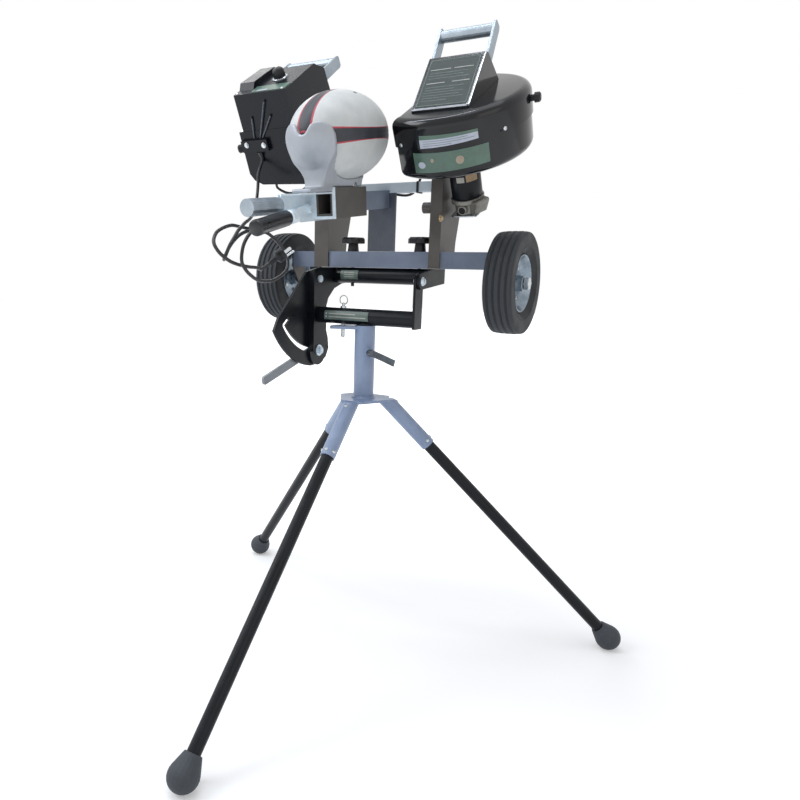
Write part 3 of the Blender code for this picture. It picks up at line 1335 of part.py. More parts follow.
LEAD_TOP = in_unit_point(-1, -0.040, CLAMP_BACK + 0.0045, CLAMP_FOOT - 0.0006)
LEAD_ROUTE = [
    LEAD_TOP, in_unit_point(-1, -0.040, CLAMP_BACK + 0.0045, CLAMP_FOOT - 0.020),
    (-0.232, -0.104, 1.152), (-0.229, -0.110, 1.125), (-0.225, -0.118, 1.104),
    (-0.214, -0.136, 1.086), (-0.202, -0.154, 1.076), (-0.188, -0.176, 1.066),
    (-0.175, -0.195, 1.059), (-0.161, -0.218, 1.052), (-0.149, -0.238, 1.046),
    (-0.135, -0.262, 1.040), (-0.124, -0.282, 1.035), (-0.114, -0.303, 1.030),
    (-0.103, -0.328, 1.021), (-0.096, -0.349, 1.011), (-0.088, -0.371, 0.997),
    (-0.085, -0.388, 0.982), (-0.095, -0.390, 0.961), (-0.110, -0.375, 0.957),
    (-0.119, -0.355, 0.972), (-0.119, -0.339, 0.989), (-0.118, -0.317, 1.005),
    (-0.114, -0.295, 1.014), (-0.106, -0.275, 1.019), (-0.082, -0.271, 1.021),
    (-0.065, -0.286, 1.020), (-0.066, -0.310, 1.018), (-0.072, -0.331, 1.013),
    (-0.070, -0.354, 0.998), (-0.069, -0.368, 0.979), (-0.068, -0.373, 0.954),
    (-0.069, -0.359, 0.937), (-0.072, -0.334, 0.924), (-0.074, -0.311, 0.917),
    (-0.077, -0.284, 0.915), (-0.079, -0.260, 0.916), (-0.082, -0.237, 0.921),
    (-0.085, -0.211, 0.930), (-0.089, -0.191, 0.943), (-0.097, -0.181, 0.965),
    (-0.101, -0.193, 0.984), (-0.105, -0.215, 1.001), (-0.112, -0.234, 1.013),
    (-0.122, -0.259, 1.019), (-0.126, -0.283, 1.020), (-0.125, -0.310, 1.022),
    (-0.121, -0.334, 1.023), (-0.116, -0.357, 1.020), (-0.110, -0.384, 1.013),
    (-0.104, -0.405, 1.004), (-0.094, -0.423, 0.987), (-0.082, -0.422, 0.969),
    (-0.077, -0.401, 0.955), (-0.079, -0.378, 0.949), (-0.082, -0.350, 0.945),
    (-0.085, -0.326, 0.943), (-0.090, -0.299, 0.942), (-0.097, -0.276, 0.939),
    (-0.0982, -0.2699, 0.9388), (-0.0860, -0.2594, 0.9507),
]

LINK_FOOT = -COVER_HALF - CLEAR
LINK_ROUTE = [
    in_unit_point(-1, -0.044, -0.110, LINK_FOOT), in_unit_point(-1, -0.044, -0.110, LINK_FOOT - 0.012),
    in_unit_point(-1, -0.020, -0.108, LINK_FOOT - 0.026),
    in_unit_point(-1, 0.012, -0.104, LINK_FOOT - 0.025),
    in_unit_point(-1, 0.040, -0.092, LINK_FOOT - 0.014), (-0.141, 0.010, 1.131), (-0.134, 0.045, 1.141),
    (-0.123, 0.072, 1.147), (-0.110, 0.095, 1.148), (-0.098, 0.105, 1.140), (-0.082, 0.103, 1.128),
    (-0.055, 0.1015, 1.123),
    (-0.025, 0.1015, 1.121), (0.004, 0.1015, 1.118), (0.026, 0.102, 1.1135), (0.046, 0.102, 1.112),
    (0.062, 0.102, 1.117), (0.072, 0.102, 1.131), (0.080, 0.102, 1.150), (0.094, 0.105, 1.170),
    (0.108, 0.106, 1.180), in_unit_point(1, -0.072, 0.030, LINK_FOOT - 0.010),
    in_unit_point(1, -0.072, 0.030, LINK_FOOT),
]


def mains_plug(end, aim):
    """A moulded plug: strain relief, body, two flat blades and a round pin."""
    profile = [
        (0, CLEAR), (0.0048, CLEAR), (0.0060, 0.014), (0.0075, 0.017), (0.0125, 0.020), (0.0135, 0.022),
        (0.0135, 0.036), (0.0125, 0.038), (0, 0.038),
    ]
    plug = add("mains_plug", turned(profile, 20), KNOB, "tilt_axis", tuple(end))
    turn = Vector(aim).to_track_quat("Z", "Y").to_euler()
    plug.rotation_euler = turn
    seat = Vector(end) - Vector(holders["tilt_axis"]["at"])
    degrees = [math.degrees(a) for a in turn]
    weld(plug, block((0.0056, 0.0072), (-0.0032, 0.0032), (0.036, 0.054)), seat, degrees)
    weld(plug, block((-0.0072, -0.0056), (-0.0032, 0.0032), (0.036, 0.054)), seat, degrees)
    pin = turned([(0, 0.036), (0.0024, 0.036), (0.0024, 0.055), (0.001, 0.057), (0, 0.057)], 10)
    for vertex in pin.vertices:
        vertex.co.y -= 0.0085
    weld(plug, pin, seat, degrees)


lead = cord("mains_lead", LEAD_ROUTE, LEAD_DIAMETER, LEAD_SPACING)
mains_plug(lead[-1], PLUG_AIM)
cord("link_cable", LINK_ROUTE, LINK_DIAMETER, LINK_SPACING)
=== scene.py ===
import math

import bmesh
import bpy
from mathutils import Matrix, Vector


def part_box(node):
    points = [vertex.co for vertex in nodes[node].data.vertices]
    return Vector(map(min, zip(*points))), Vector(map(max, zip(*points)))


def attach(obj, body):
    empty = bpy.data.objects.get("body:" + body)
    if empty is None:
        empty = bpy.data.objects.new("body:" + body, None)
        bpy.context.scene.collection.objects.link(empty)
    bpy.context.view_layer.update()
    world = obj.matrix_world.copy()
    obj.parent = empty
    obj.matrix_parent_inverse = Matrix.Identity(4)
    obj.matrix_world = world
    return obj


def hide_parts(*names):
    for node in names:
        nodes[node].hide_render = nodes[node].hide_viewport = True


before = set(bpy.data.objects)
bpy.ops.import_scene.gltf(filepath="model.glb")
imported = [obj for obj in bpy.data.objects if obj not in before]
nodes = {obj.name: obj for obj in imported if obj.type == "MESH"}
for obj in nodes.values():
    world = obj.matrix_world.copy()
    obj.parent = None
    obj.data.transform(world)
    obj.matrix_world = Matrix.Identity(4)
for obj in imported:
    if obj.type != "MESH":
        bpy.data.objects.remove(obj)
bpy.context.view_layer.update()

# Rugby ball machine on a tripod, dressed over its CAD solids. Metres; the post stands at postShift.
postShift = Vector((0, 0.16075, 0))
atPost = Matrix.Translation(postShift)
gap = 0.0003  # the CAD's clearance between pieces
sunk = 0.0002  # how deep a stuck-on label's edge sits
mm = 0.001


def addObject(name, data):
    added = bpy.data.objects.new(name, data)
    bpy.context.collection.objects.link(added)
    return added


# Camera

view = {
    "place": (0.8128, -1.31265, 0.9493),
    "heading": 31.402,  # degrees from +Y towards -X
    "pitch": -12.576,
    "roll": 1.005,
    "sensor": 36,
    "lens": 32.02,
    "shift": (0.0850, 0.02995),
}


def makeCamera():
    heading, pitch, roll = (math.radians(view[key]) for key in ("heading", "pitch", "roll"))
    level = math.cos(pitch)
    ahead = Vector((-math.sin(heading) * level, math.cos(heading) * level, math.sin(pitch)))
    flat = Vector((math.cos(heading), math.sin(heading), 0))
    upright = flat.cross(ahead)
    right = flat * math.cos(roll) + upright * math.sin(roll)
    up = upright * math.cos(roll) - flat * math.sin(roll)
    lens = bpy.data.cameras.new("photoCamera")
    lens.sensor_width = view["sensor"]
    lens.lens = view["lens"]
    lens.shift_x, lens.shift_y = view["shift"]
    camera = addObject("photoCamera", lens)
    turn = Matrix((right, up, -ahead)).transposed().to_4x4()
    camera.matrix_world = Matrix.Translation(view["place"]) @ turn
    bpy.context.scene.camera = camera


makeCamera()
print("camera set")


# Materials

# sRGB hex to linear RGBA.
def linear(code):
    channels = [int(code[i:i + 2], 16) / 255 for i in (1, 3, 5)]
    return (*(c / 12.92 if c <= 0.04045 else ((c + 0.055) / 1.055) ** 2.4 for c in channels), 1.0)


def addNode(tree, kind, settings=None, links=None):
    node = tree.nodes.new("ShaderNode" + kind)
    for key, value in (settings or {}).items():
        if isinstance(key, int) or key in node.inputs:
            node.inputs[key].default_value = value
        else:
            setattr(node, key, value)
    for key, source in (links or {}).items():
        tree.links.new(source, node.inputs[key])
    return node


def startMaterial(name):
    material = bpy.data.materials.new(name)
    material.use_nodes = True
    tree = material.node_tree
    tree.nodes.clear()
    return material, tree, addNode(tree, "TexCoord").outputs["Object"]


def finishMaterial(tree, settings, links):
    shader = addNode(tree, "BsdfPrincipled", settings, links)
    addNode(tree, "OutputMaterial", links={"Surface": shader.outputs[0]})


# One coated, moulded or metal surface: patchy colour, worn specks, grain in the bump.
# Patches, grain and depth are in mm; a scuff is its colour, its size in mm and how far it covers.
def surface(name, tones, patch, grain, bump, roughness, metallic=0.0, specular=0.5, coat=0.0,
            scuff=None, deep=0.15, stretch=(1, 1, 1)):
    material, tree, place = startMaterial(name)
    patches = addNode(tree, "TexNoise", {
        "Scale": 1 / (patch * mm), "Detail": 5.0, "Roughness": 0.6}, {"Vector": place})
    tone = addNode(tree, "MapRange", {
        "From Min": 0.35, "From Max": 0.68}, {"Value": patches.outputs["Fac"]})
    colour = addNode(tree, "Mix", {
        "data_type": "RGBA", 6: linear(tones[0]), 7: linear(tones[1])}, {0: tone.outputs[0]})
    drawn = addNode(tree, "Mapping", {"Scale": stretch}, {"Vector": place})
    grains = addNode(tree, "TexNoise", {
        "Scale": 1 / (grain * mm), "Detail": 3.0, "Roughness": 0.55}, {"Vector": drawn.outputs[0]})
    last = colour.outputs[2]
    if scuff:  # sparse specks where it is worn or stained
        worn, size, most = scuff
        specks = addNode(tree, "TexNoise", {
            "Scale": 1 / (size * mm), "Detail": 7.0, "Roughness": 0.72, "Distortion": 0.4},
            {"Vector": place})
        rare = addNode(tree, "MapRange", {
            "From Min": 0.66, "From Max": 0.74, "To Max": most}, {"Value": specks.outputs["Fac"]})
        last = addNode(tree, "Mix", {"data_type": "RGBA", 7: linear(worn)},
                       {0: rare.outputs[0], 6: last}).outputs[2]
    low, high = roughness
    rough = addNode(tree, "MapRange", {
        "From Min": 0.3, "From Max": 0.7, "To Min": low, "To Max": high},
        {"Value": patches.outputs["Fac"]})
    relief = addNode(tree, "Bump", {
        "Strength": bump, "Distance": deep * mm}, {"Height": grains.outputs["Fac"]})
    settings = {"Metallic": metallic, "Specular IOR Level": specular}
    if coat:
        settings.update({"Coat Weight": coat, "Coat Roughness": 0.12})
    finishMaterial(tree, settings, {
        "Base Color": last, "Roughness": rough.outputs[0], "Normal": relief.outputs[0]})
    return material


# Powder coat on steel: soft orange-peel gloss, with sparse worn specks paler than the coat
bluePowderCoat = surface("blue_powder_coat", ("#8899b8", "#9bacc8"), 60, 1.6, 0.25, (0.26, 0.40),
    scuff=("#b9c4d8", 26, 0.5))
greyBluePowderCoat = surface("grey_blue_powder_coat", ("#758196", "#8692a6"), 70, 1.6, 0.25,
    (0.36, 0.50), scuff=("#a9b4c8", 30, 0.55))
paleBluePowderCoat = surface("pale_blue_powder_coat", ("#d6e2ea", "#e2edf4"), 50, 1.6, 0.25,
    (0.34, 0.48), scuff=("#d5dfe4", 24, 0.5))
# Uprights and sleeve: grey powder coat whose warm brown tint is a painted reflection of a warm
# floor
greyCoatWarmReflection = surface("grey_powder_coat_painted_warm_reflection", ("#524e4a", "#605c57"), 55, 1.6, 0.25,
    (0.36, 0.52), scuff=("#8d8a83", 28, 0.5))
silverPowderCoat = surface("silver_powder_coat", ("#8d9298", "#a0a5a9"), 40, 1.4, 0.25, (0.34, 0.5),
    scuff=("#bfc3c4", 22, 0.5))
# Middle post: the main bar's grey-blue coat drawn darker, as painted shade on the post
shadedGreyBlueCoat = surface("grey_blue_powder_coat_painted_shade", ("#4a505a", "#585f6a"), 60, 1.6, 0.25,
    (0.36, 0.50), scuff=("#9aa6b8", 30, 0.4))
brownGreyPaint = surface("brown_grey_paint", ("#4b4640", "#5a544c"), 40, 1.4, 0.25, (0.38, 0.52),
    scuff=("#85807a", 20, 0.4))
darkLever = surface("blackened_steel", ("#4b5157", "#5c636a"), 20, 1.2, 0.15, (0.3, 0.44),
    metallic=0.5)
# Gloss enamel on steel tube: deep black with a slight orange peel and dull rubbed patches
blackEnamel = surface("black_gloss_enamel", ("#0f1216", "#181b21"), 45, 2.2, 0.18, (0.26, 0.44),
    specular=0.2, scuff=("#3c3e42", 30, 0.35))
# Moulded rubber: matt, faint bloom
footRubber = surface("moulded_rubber", ("#363a40", "#454a50"), 18, 0.9, 0.4, (0.55, 0.75),
    scuff=("#6a6c6c", 9, 0.35))
gripRubber = surface("grip_rubber", ("#101115", "#1a1b20"), 22, 0.8, 0.3, (0.24, 0.4))
tyreRubber = surface("tyre_rubber", ("#1f2124", "#2c2e31"), 30, 1.0, 0.45, (0.6, 0.82),
    scuff=("#6d6a62", 14, 0.2))
dustyTread = surface("dusty_tread_rubber", ("#31353a", "#41454a"), 24, 1.0, 0.45, (0.65, 0.85),
    scuff=("#75726a", 12, 0.4))
# Vacuum-formed ABS: black, glossy, with the slow waves of a formed sheet
formedAbs = surface("vacuum_formed_abs", ("#0a0c10", "#12151b"), 80, 26, 0.35, (0.10, 0.17),
    specular=0.36, deep=0.5, scuff=("#34363b", 40, 0.25))
satinAbs = surface("satin_abs", ("#0d1118", "#141a23"), 60, 0.7, 0.25, (0.20, 0.32), specular=0.22,
    scuff=("#3b3d42", 26, 0.3))
knobPlastic = surface("phenolic_plastic", ("#101114", "#1a1b20"), 14, 0.6, 0.25, (0.35, 0.5),
    specular=0.35)
# Zinc plate: pale blue, bright, with the spangle of plated sheet
zincPlate = surface("zinc_plate", ("#dcecf6", "#ecf5fa"), 12, 1.2, 0.08, (0.3, 0.46), metallic=0.25,
    scuff=("#8f9aa3", 10, 0.3))
brightSteel = surface("bright_steel", ("#b4b9bd", "#ced2d5"), 9, 0.8, 0.05, (0.22, 0.36),
    metallic=0.9)
# Brushed aluminium: fine strokes that run along X
brushedAluminium = surface("brushed_aluminium", ("#98a4ae", "#afb9c1"), 30, 0.9, 0.18, (0.32, 0.44),
    metallic=0.6, stretch=(0.06, 1, 1), scuff=("#8b9298", 16, 0.4))
# Cast aluminium: grainy, dull silver, with sparse darker stains
castAluminium = surface("cast_aluminium", ("#a6abb2", "#b5bac1"), 55, 1.1, 0.2, (0.42, 0.55),
    metallic=0.35, scuff=("#63666c", 20, 0.16))
castZinc = surface("die_cast_bell", ("#86847e", "#9b9992"), 12, 0.9, 0.35, (0.38, 0.56),
    metallic=0.45)
wheelSteel = surface("stamped_wheel_steel", ("#717d88", "#93a0ab"), 16, 1.4, 0.15, (0.24, 0.4),
    metallic=0.7, scuff=("#5b5c58", 12, 0.4))
brassPlate = surface("yellow_passivated_zinc", ("#b79f78", "#cdb891"), 5, 0.7, 0.15, (0.35, 0.5),
    metallic=0.6)
# PVC sheath: dull, slightly greasy black
pvcSheath = surface("pvc_sheath", ("#1d1e21", "#2a2b2e"), 25, 1.2, 0.2, (0.36, 0.5))
# Wires on the housing: black wires drawn mid-grey, the grey a painted highlight along them
paintedHighlightWire = surface("wire_sheath_painted_highlight", ("#555b64", "#6a717b"), 12, 0.8, 0.15, (0.4, 0.55))
# Printed vinyl: flat colour under a thin clear film
greenVinyl = surface("green_vinyl", ("#4d6b5d", "#5b7a6a"), 26, 1.0, 0.1, (0.3, 0.42), coat=0.3)
oliveVinyl = surface("dull_green_vinyl", ("#5e6f66", "#71827a"), 20, 1.0, 0.1, (0.34, 0.48))
paleVinyl = surface("pale_vinyl", ("#bcc3d4", "#ccd2e0"), 18, 1.0, 0.1, (0.3, 0.42), coat=0.3)
lineInk = surface("pale_ink", ("#a9aca6", "#c0c2bb"), 6, 0.8, 0.05, (0.4, 0.55))
faintInk = surface("faint_ink", ("#64736b", "#707f76"), 6, 0.8, 0.05, (0.4, 0.55))
tanInk = surface("tan_ink", ("#a89a86", "#b8ab98"), 6, 0.8, 0.05, (0.4, 0.55))
panelFilm = surface("panel_film", ("#2d3632", "#37423d"), 45, 0.5, 0.25, (0.34, 0.46),
    specular=0.22)
maskingTape = surface("masking_tape", ("#a98f6c", "#bda383"), 6, 0.9, 0.3, (0.6, 0.75))
paperTag = surface("paper_tag", ("#b9b7ae", "#cbc9c0"), 6, 0.9, 0.15, (0.6, 0.75))
darkHole = surface("dark_recess", ("#0a0a0b", "#101011"), 6, 0.8, 0.1, (0.7, 0.85))


# Ball skin: moulded pimples 2.4 mm apart, drawn as round bumps, under a soft sheen.
def pimpledRubber(name, tones):
    material, tree, place = startMaterial(name)
    pimples = addNode(tree, "TexVoronoi", {
        "Scale": 1 / (2.4 * mm), "Randomness": 0.35}, {"Vector": place})
    dome = addNode(tree, "MapRange", {
        "From Min": 0.15, "From Max": 0.55, "To Min": 1.0, "To Max": 0.0},
        {"Value": pimples.outputs["Distance"]})
    patches = addNode(tree, "TexNoise", {
        "Scale": 1 / (30 * mm), "Detail": 5.0}, {"Vector": place})
    tone = addNode(tree, "MapRange", {
        "From Min": 0.35, "From Max": 0.7}, {"Value": patches.outputs["Fac"]})
    mixed = addNode(tree, "Mix", {
        "data_type": "RGBA", 6: linear(tones[0]), 7: linear(tones[1])}, {0: tone.outputs[0]})
    bump = addNode(tree, "Bump", {
        "Strength": 0.35, "Distance": 0.3 * mm}, {"Height": dome.outputs[0]})
    rough = addNode(tree, "MapRange", {
        "To Min": 0.42, "To Max": 0.58}, {"Value": patches.outputs["Fac"]})
    finishMaterial(tree, {}, {
        "Base Color": mixed.outputs[2], "Roughness": rough.outputs[0], "Normal": bump.outputs[0]})
    return material


ballWhite = pimpledRubber("pimpled_rubber_white", ("#d3d7d6", "#e2e4e2"))
ballBlack = pimpledRubber("pimpled_rubber_black", ("#2a2c33", "#3a3d45"))
ballRed = pimpledRubber("pimpled_rubber_red", ("#c2404c", "#cf5660"))
print("materials made")


# Shapes

sharpAngle = 38  # degrees between two faces from which their edge is drawn sharp


def toMesh(name, bm):
    mesh = bpy.data.meshes.new(name)
    bm.to_mesh(mesh)
    bm.free()
    return mesh


# Turn a bmesh into a piece in the frame's own metres, riding on a body.
def makePiece(name, bm, material, place, body="head", sharp=sharpAngle):
    bmesh.ops.transform(bm, matrix=place, verts=bm.verts)
    bmesh.ops.recalc_face_normals(bm, faces=bm.faces)
    mesh = toMesh(name, bm)
    mesh.shade_smooth()
    mesh.set_sharp_from_angle(angle=math.radians(sharp))
    for one in material if isinstance(material, list) else [material]:
        mesh.materials.append(one)
    piece = addObject(name, mesh)
    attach(piece, body)
    return piece


# Let a piece take a CAD node's place: the node is hidden.
def standIn(piece, node):
    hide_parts(node)


# A piece's own mesh as its modifiers leave it.
def bake(piece):
    bpy.context.view_layer.update()
    ready = piece.evaluated_get(bpy.context.evaluated_depsgraph_get())
    shaped = bpy.data.meshes.new_from_object(ready)
    piece.modifiers.clear()
    piece.data = shaped
    return shaped


# Skin over rings of points. Ends: "cap" closes them, "join" ties the last ring to the first.
def skin(rings, ends="cap", closed=True):
    bm = bmesh.new()
    rows = [[bm.verts.new(point) for point in ring] for ring in rings]
    count = len(rows[0])
    for here, after in zip(rows, rows[1:] + rows[:1] if ends == "join" else rows[1:]):
        for i in range(count if closed else count - 1):
            k = (i + 1) % count
            bm.faces.new((here[i], here[k], after[k], after[i]))
    if ends == "cap":
        bm.faces.new(rows[0])
        bm.faces.new(rows[-1])
    return bm


def weld(bm, distance):
    bmesh.ops.remove_doubles(bm, verts=bm.verts, dist=distance)
    bmesh.ops.dissolve_degenerate(bm, edges=bm.edges, dist=1e-7)


# Spin (radius, height) points about Z.
def lathe(profile, steps, closed=False):
    turns = [2 * math.pi * i / steps for i in range(steps)]
    rings = [[(r * math.cos(a), r * math.sin(a), z) for r, z in profile] for a in turns]
    bm = skin(rings, "join", closed)
    weld(bm, 1e-7)
    return bm


# A piece spun from its profile.
def spun(name, profile, steps, material, place, body="head", closed=False):
    return makePiece(name, lathe(profile, steps, closed), material, place, body)


# Extrude an outline along an axis, with its edges broken by a small bevel.
def slab(outline, low, high, lay="z", edge=0.0):
    put = {"x": lambda a, b, h: (h, a, b), "y": lambda a, b, h: (a, h, b),
           "z": lambda a, b, h: (a, b, h)}[lay]
    bm = skin([[put(a, b, h) for a, b in outline] for h in (low, high)])
    if edge:
        bmesh.ops.bevel(bm, geom=bm.edges, offset=edge, segments=2, affect="EDGES",
                        clamp_overlap=True)
    return bm


def arc(centre, radius, start, end, steps):
    turns = [math.radians(start + (end - start) * i / steps) for i in range(steps + 1)]
    return [(centre[0] + radius * math.cos(a), centre[1] + radius * math.sin(a)) for a in turns]


# A rectangle's outline, with round corners where a radius is given.
def oblong(x, y, corner=0.0):
    if not corner:
        return [(x[0], y[0]), (x[1], y[0]), (x[1], y[1]), (x[0], y[1])]
    points = []
    for cx, cy, start in ((x[1], y[0], -90), (x[1], y[1], 0), (x[0], y[1], 90), (x[0], y[0], 180)):
        middle = (cx - corner if cx == x[1] else cx + corner,
                  cy - corner if cy == y[1] else cy + corner)
        points += arc(middle, corner, start, start + 90, 4)
    return points


# Round the sharp corners of a closed outline.
def softened(outline, radius, steps=4):
    rounded = []
    for i, corner in enumerate(outline):
        corner, before = Vector(corner), Vector(outline[i - 1])
        after = Vector(outline[(i + 1) % len(outline)])
        back, ahead = before - corner, after - corner
        opening = back.angle(ahead)
        if math.pi - opening < math.radians(25):
            rounded.append(tuple(corner))
            continue
        reach = min(radius / math.tan(opening / 2), back.length * 0.49, ahead.length * 0.49)
        start, end = corner + back.normalized() * reach, corner + ahead.normalized() * reach
        for k in range(steps + 1):
            t = k / steps
            rounded.append(tuple(start.lerp(corner, t).lerp(corner.lerp(end, t), t)))
    return rounded


# Matrix that carries +Z to the given direction.
def facing(at, normal):
    turn = Vector(normal).to_track_quat("Z", "Y").to_matrix().to_4x4()
    return Matrix.Translation(Vector(at)) @ turn


def moved(at, degrees=0.0, axis="Z"):
    return Matrix.Translation(Vector(at)) @ Matrix.Rotation(math.radians(degrees), 4, axis)


# Direction square to Z at an angle in degrees.
def spoke(degrees):
    turn = math.radians(degrees)
    return Vector((math.cos(turn), math.sin(turn), 0))


# A thin plate between two heights: labels, ruled lines, edge strips and a painted highlight strip.
def plate(name, x, y, z, material, place, corner=0.0, edge=0.0, body="head"):
    return makePiece(name, slab(oblong(x, y, corner), *z, "z", edge), material, place, body)


# Pan-head screw with a round recess, sunk 0.4 mm into what it stands on.
def screw(name, at, normal, radius, carrier, material=brightSteel, body="head"):
    height = radius * 0.62
    profile = [(0, -0.0004), (radius, -0.0004), (radius, height * 0.25)]
    profile += [(radius * math.cos(a), height * (0.25 + 0.75 * math.sin(a)))
                for a in (0.5, 0.9, 1.25)]
    profile += [(radius * 0.26, height), (radius * 0.2, height * 0.55), (0, height * 0.5)]
    return spun(name, profile, 16, material, carrier @ facing(at, normal), body)


bolts = {  # across the flats, height, radius of the washer where there is one
    "clamp": (0.0088, 0.0036, 0.0062),
    "through": (0.0070, 0.0034, 0),
    "rim": (0.0085, 0.0045, 0),
    "axle": (0.0262, 0.0108, 0),
    "web": (0.0105, 0.0050, 0.0078),
    "cradle": (0.0085, 0.0045, 0.0062),
    "bracket": (0.0105, 0.0048, 0.0080),
}


# Hexagon head or nut of one of the bolts, with its washer.
def hexHead(name, bolt, at, normal, carrier, material=brightSteel, body="head"):
    across, height, washer = bolts[bolt]
    ring = arc((0, 0), across / 1.732, 0, 300, 5)
    bm = slab(ring, -0.0003, height, "z", across * 0.06)
    if washer:
        disc = toMesh("washer", lathe([(0, -0.0004), (washer, -0.0004), (washer, 0.0011),
                                       (washer - 0.0004, 0.0015), (0, 0.0015)], 24))
        bm.from_mesh(disc)
        bpy.data.meshes.remove(disc)
    return makePiece(name, bm, material, carrier @ facing(at, normal), body)


# A thin patch on a cylinder about Z, between two angles and two heights, or four if it slants.
def patch(name, material, carrier, radius, turn, z, thick=0.00035, steps=28, body="head"):
    rings = []
    for i in range(steps + 1):
        t = i / steps
        a = math.radians(turn[0] + (turn[1] - turn[0]) * t)
        low, high = z if len(z) == 2 else (z[0] + (z[2] - z[0]) * t, z[1] + (z[3] - z[1]) * t)
        inner, outer = radius - sunk, radius + thick
        rings.append([(r * math.cos(a), r * math.sin(a), h)
                      for r, h in ((inner, low), (outer, low), (outer, high), (inner, high))])
    return makePiece(name, skin(rings), material, carrier, body)


# A thin oval on a cylinder about Z; size is (half width, half height).
def spot(name, material, carrier, radius, turn, z, size, thick=0.0006, steps=20):
    rings = []
    for r in (radius - sunk, radius + thick):
        ring = []
        for i in range(steps):
            a = 2 * math.pi * i / steps
            spin = math.radians(turn) + size[0] * math.cos(a) / radius
            ring.append((r * math.cos(spin), r * math.sin(spin), z + size[1] * math.sin(a)))
        rings.append(ring)
    return makePiece(name, skin(rings), material, carrier)


# Throwing units: each stands over an upright, tipped back

unit = {
    "x": 0.192, "y": 0.0395, "z": 1.244, "tilt": 28,
    "radius": 0.153, "flat": 0.094, "rearFlat": 0.1335, "half": 0.0615,
}
rightUnit, leftUnit = (atPost @ moved((unit["x"] * sign, unit["y"], unit["z"]), unit["tilt"], "X")
                       for sign in (1, -1))


# Cords: the mains lead and the cable between the two units

cords = {
    "leadDiameter": 0.007,
    "linkDiameter": 0.006,
    "spacing": 0.0055,  # distance between points of the drawn curve
    "finer": 12,  # steps between two points of a route, before it is spaced evenly
}


def routeLength(route):
    return sum((after - before).length for before, after in zip(route, route[1:]))


# A smooth curve through the points, walked in even steps.
def smoothRoute(points):
    knots = [2 * points[0] - points[1]] + points + [2 * points[-1] - points[-2]]
    fine = []
    for a, b, c, d in zip(knots, knots[1:], knots[2:], knots[3:]):
        for i in range(cords["finer"]):
            t = i / cords["finer"]
            pull = (2 * a - 5 * b + 4 * c - d) * t * t + (3 * b - a - 3 * c + d) * t ** 3
            fine.append((2 * b + (c - a) * t + pull) / 2)
    fine.append(knots[-2])
    length = routeLength(fine)
    count = round(length / cords["spacing"])
    route = [fine[0]]
    walked = 0.0
    for before, after in zip(fine, fine[1:]):
        step = (after - before).length
        while len(route) < count and walked + step >= length * len(route) / count:
            route.append(before.lerp(after, (length * len(route) / count - walked) / step))
        walked += step
    route.append(fine[-1])
    return route


def makeCord(name, points, diameter, node):
    route = smoothRoute(points)
    curve = bpy.data.curves.new(name, "CURVE")
    curve.dimensions = "3D"
    curve.bevel_depth = diameter / 2
    curve.bevel_resolution = 3
    curve.use_fill_caps = True
    spline = curve.splines.new("POLY")
    spline.points.add(len(route) - 1)
    for target, point in zip(spline.points, route):
        target.co = (*point, 1.0)
    spline.use_smooth = True
    curve.materials.append(pvcSheath)
    piece = addObject(name, curve)
    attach(piece, "head")
    standIn(piece, node)
    return piece, route, routeLength(route)


def along(carrier, points):
    return [carrier @ Vector(point) for point in points]


clampBack = -unit["rearFlat"] - 0.0135  # rear face of the block that holds the lead and the wires
clampFoot = 0.026
leadPoints = along(leftUnit, [(-0.040, clampBack + 0.0045, clampFoot - 0.0006),
                              (-0.040, clampBack + 0.0045, clampFoot - 0.020)])
leadPoints += along(atPost, [
    (-0.232, -0.104, 1.152), (-0.229, -0.110, 1.125), (-0.225, -0.118, 1.104),
    (-0.214, -0.136, 1.086), (-0.202, -0.154, 1.076), (-0.188, -0.176, 1.066),
    (-0.175, -0.195, 1.059), (-0.161, -0.218, 1.052), (-0.149, -0.238, 1.046),
    (-0.135, -0.262, 1.040), (-0.124, -0.282, 1.035), (-0.114, -0.303, 1.030),
    (-0.103, -0.328, 1.021), (-0.096, -0.349, 1.011), (-0.088, -0.371, 0.997),
    (-0.085, -0.388, 0.982), (-0.095, -0.390, 0.961), (-0.110, -0.375, 0.957),
    (-0.119, -0.355, 0.972), (-0.119, -0.339, 0.989), (-0.118, -0.317, 1.005),
    (-0.114, -0.295, 1.014), (-0.106, -0.275, 1.019), (-0.082, -0.271, 1.021),
    (-0.065, -0.286, 1.020), (-0.066, -0.310, 1.018), (-0.072, -0.331, 1.013),
    (-0.070, -0.354, 0.998), (-0.069, -0.368, 0.979), (-0.068, -0.373, 0.954),
    (-0.069, -0.359, 0.937), (-0.072, -0.334, 0.924), (-0.074, -0.311, 0.917),
    (-0.077, -0.284, 0.915), (-0.079, -0.260, 0.916), (-0.082, -0.237, 0.921),
    (-0.085, -0.211, 0.930), (-0.089, -0.191, 0.943), (-0.097, -0.181, 0.965),
    (-0.101, -0.193, 0.984), (-0.105, -0.215, 1.001), (-0.112, -0.234, 1.013),
    (-0.122, -0.259, 1.019), (-0.126, -0.283, 1.020), (-0.125, -0.310, 1.022),
    (-0.121, -0.334, 1.023), (-0.116, -0.357, 1.020), (-0.110, -0.384, 1.013),
    (-0.104, -0.405, 1.004), (-0.094, -0.423, 0.987), (-0.082, -0.422, 0.969),
    (-0.077, -0.401, 0.955), (-0.079, -0.378, 0.949), (-0.082, -0.350, 0.945),
    (-0.085, -0.326, 0.943), (-0.090, -0.299, 0.942), (-0.097, -0.276, 0.939),
    (-0.0982, -0.2699, 0.9388), (-0.0860, -0.2594, 0.9507),
])
linkFoot = -unit["half"] - gap
linkPoints = along(leftUnit, [
    (-0.044, -0.110, linkFoot), (-0.044, -0.110, linkFoot - 0.012),
    (-0.020, -0.108, linkFoot - 0.026), (0.012, -0.104, linkFoot - 0.025),
    (0.040, -0.092, linkFoot - 0.014),
])
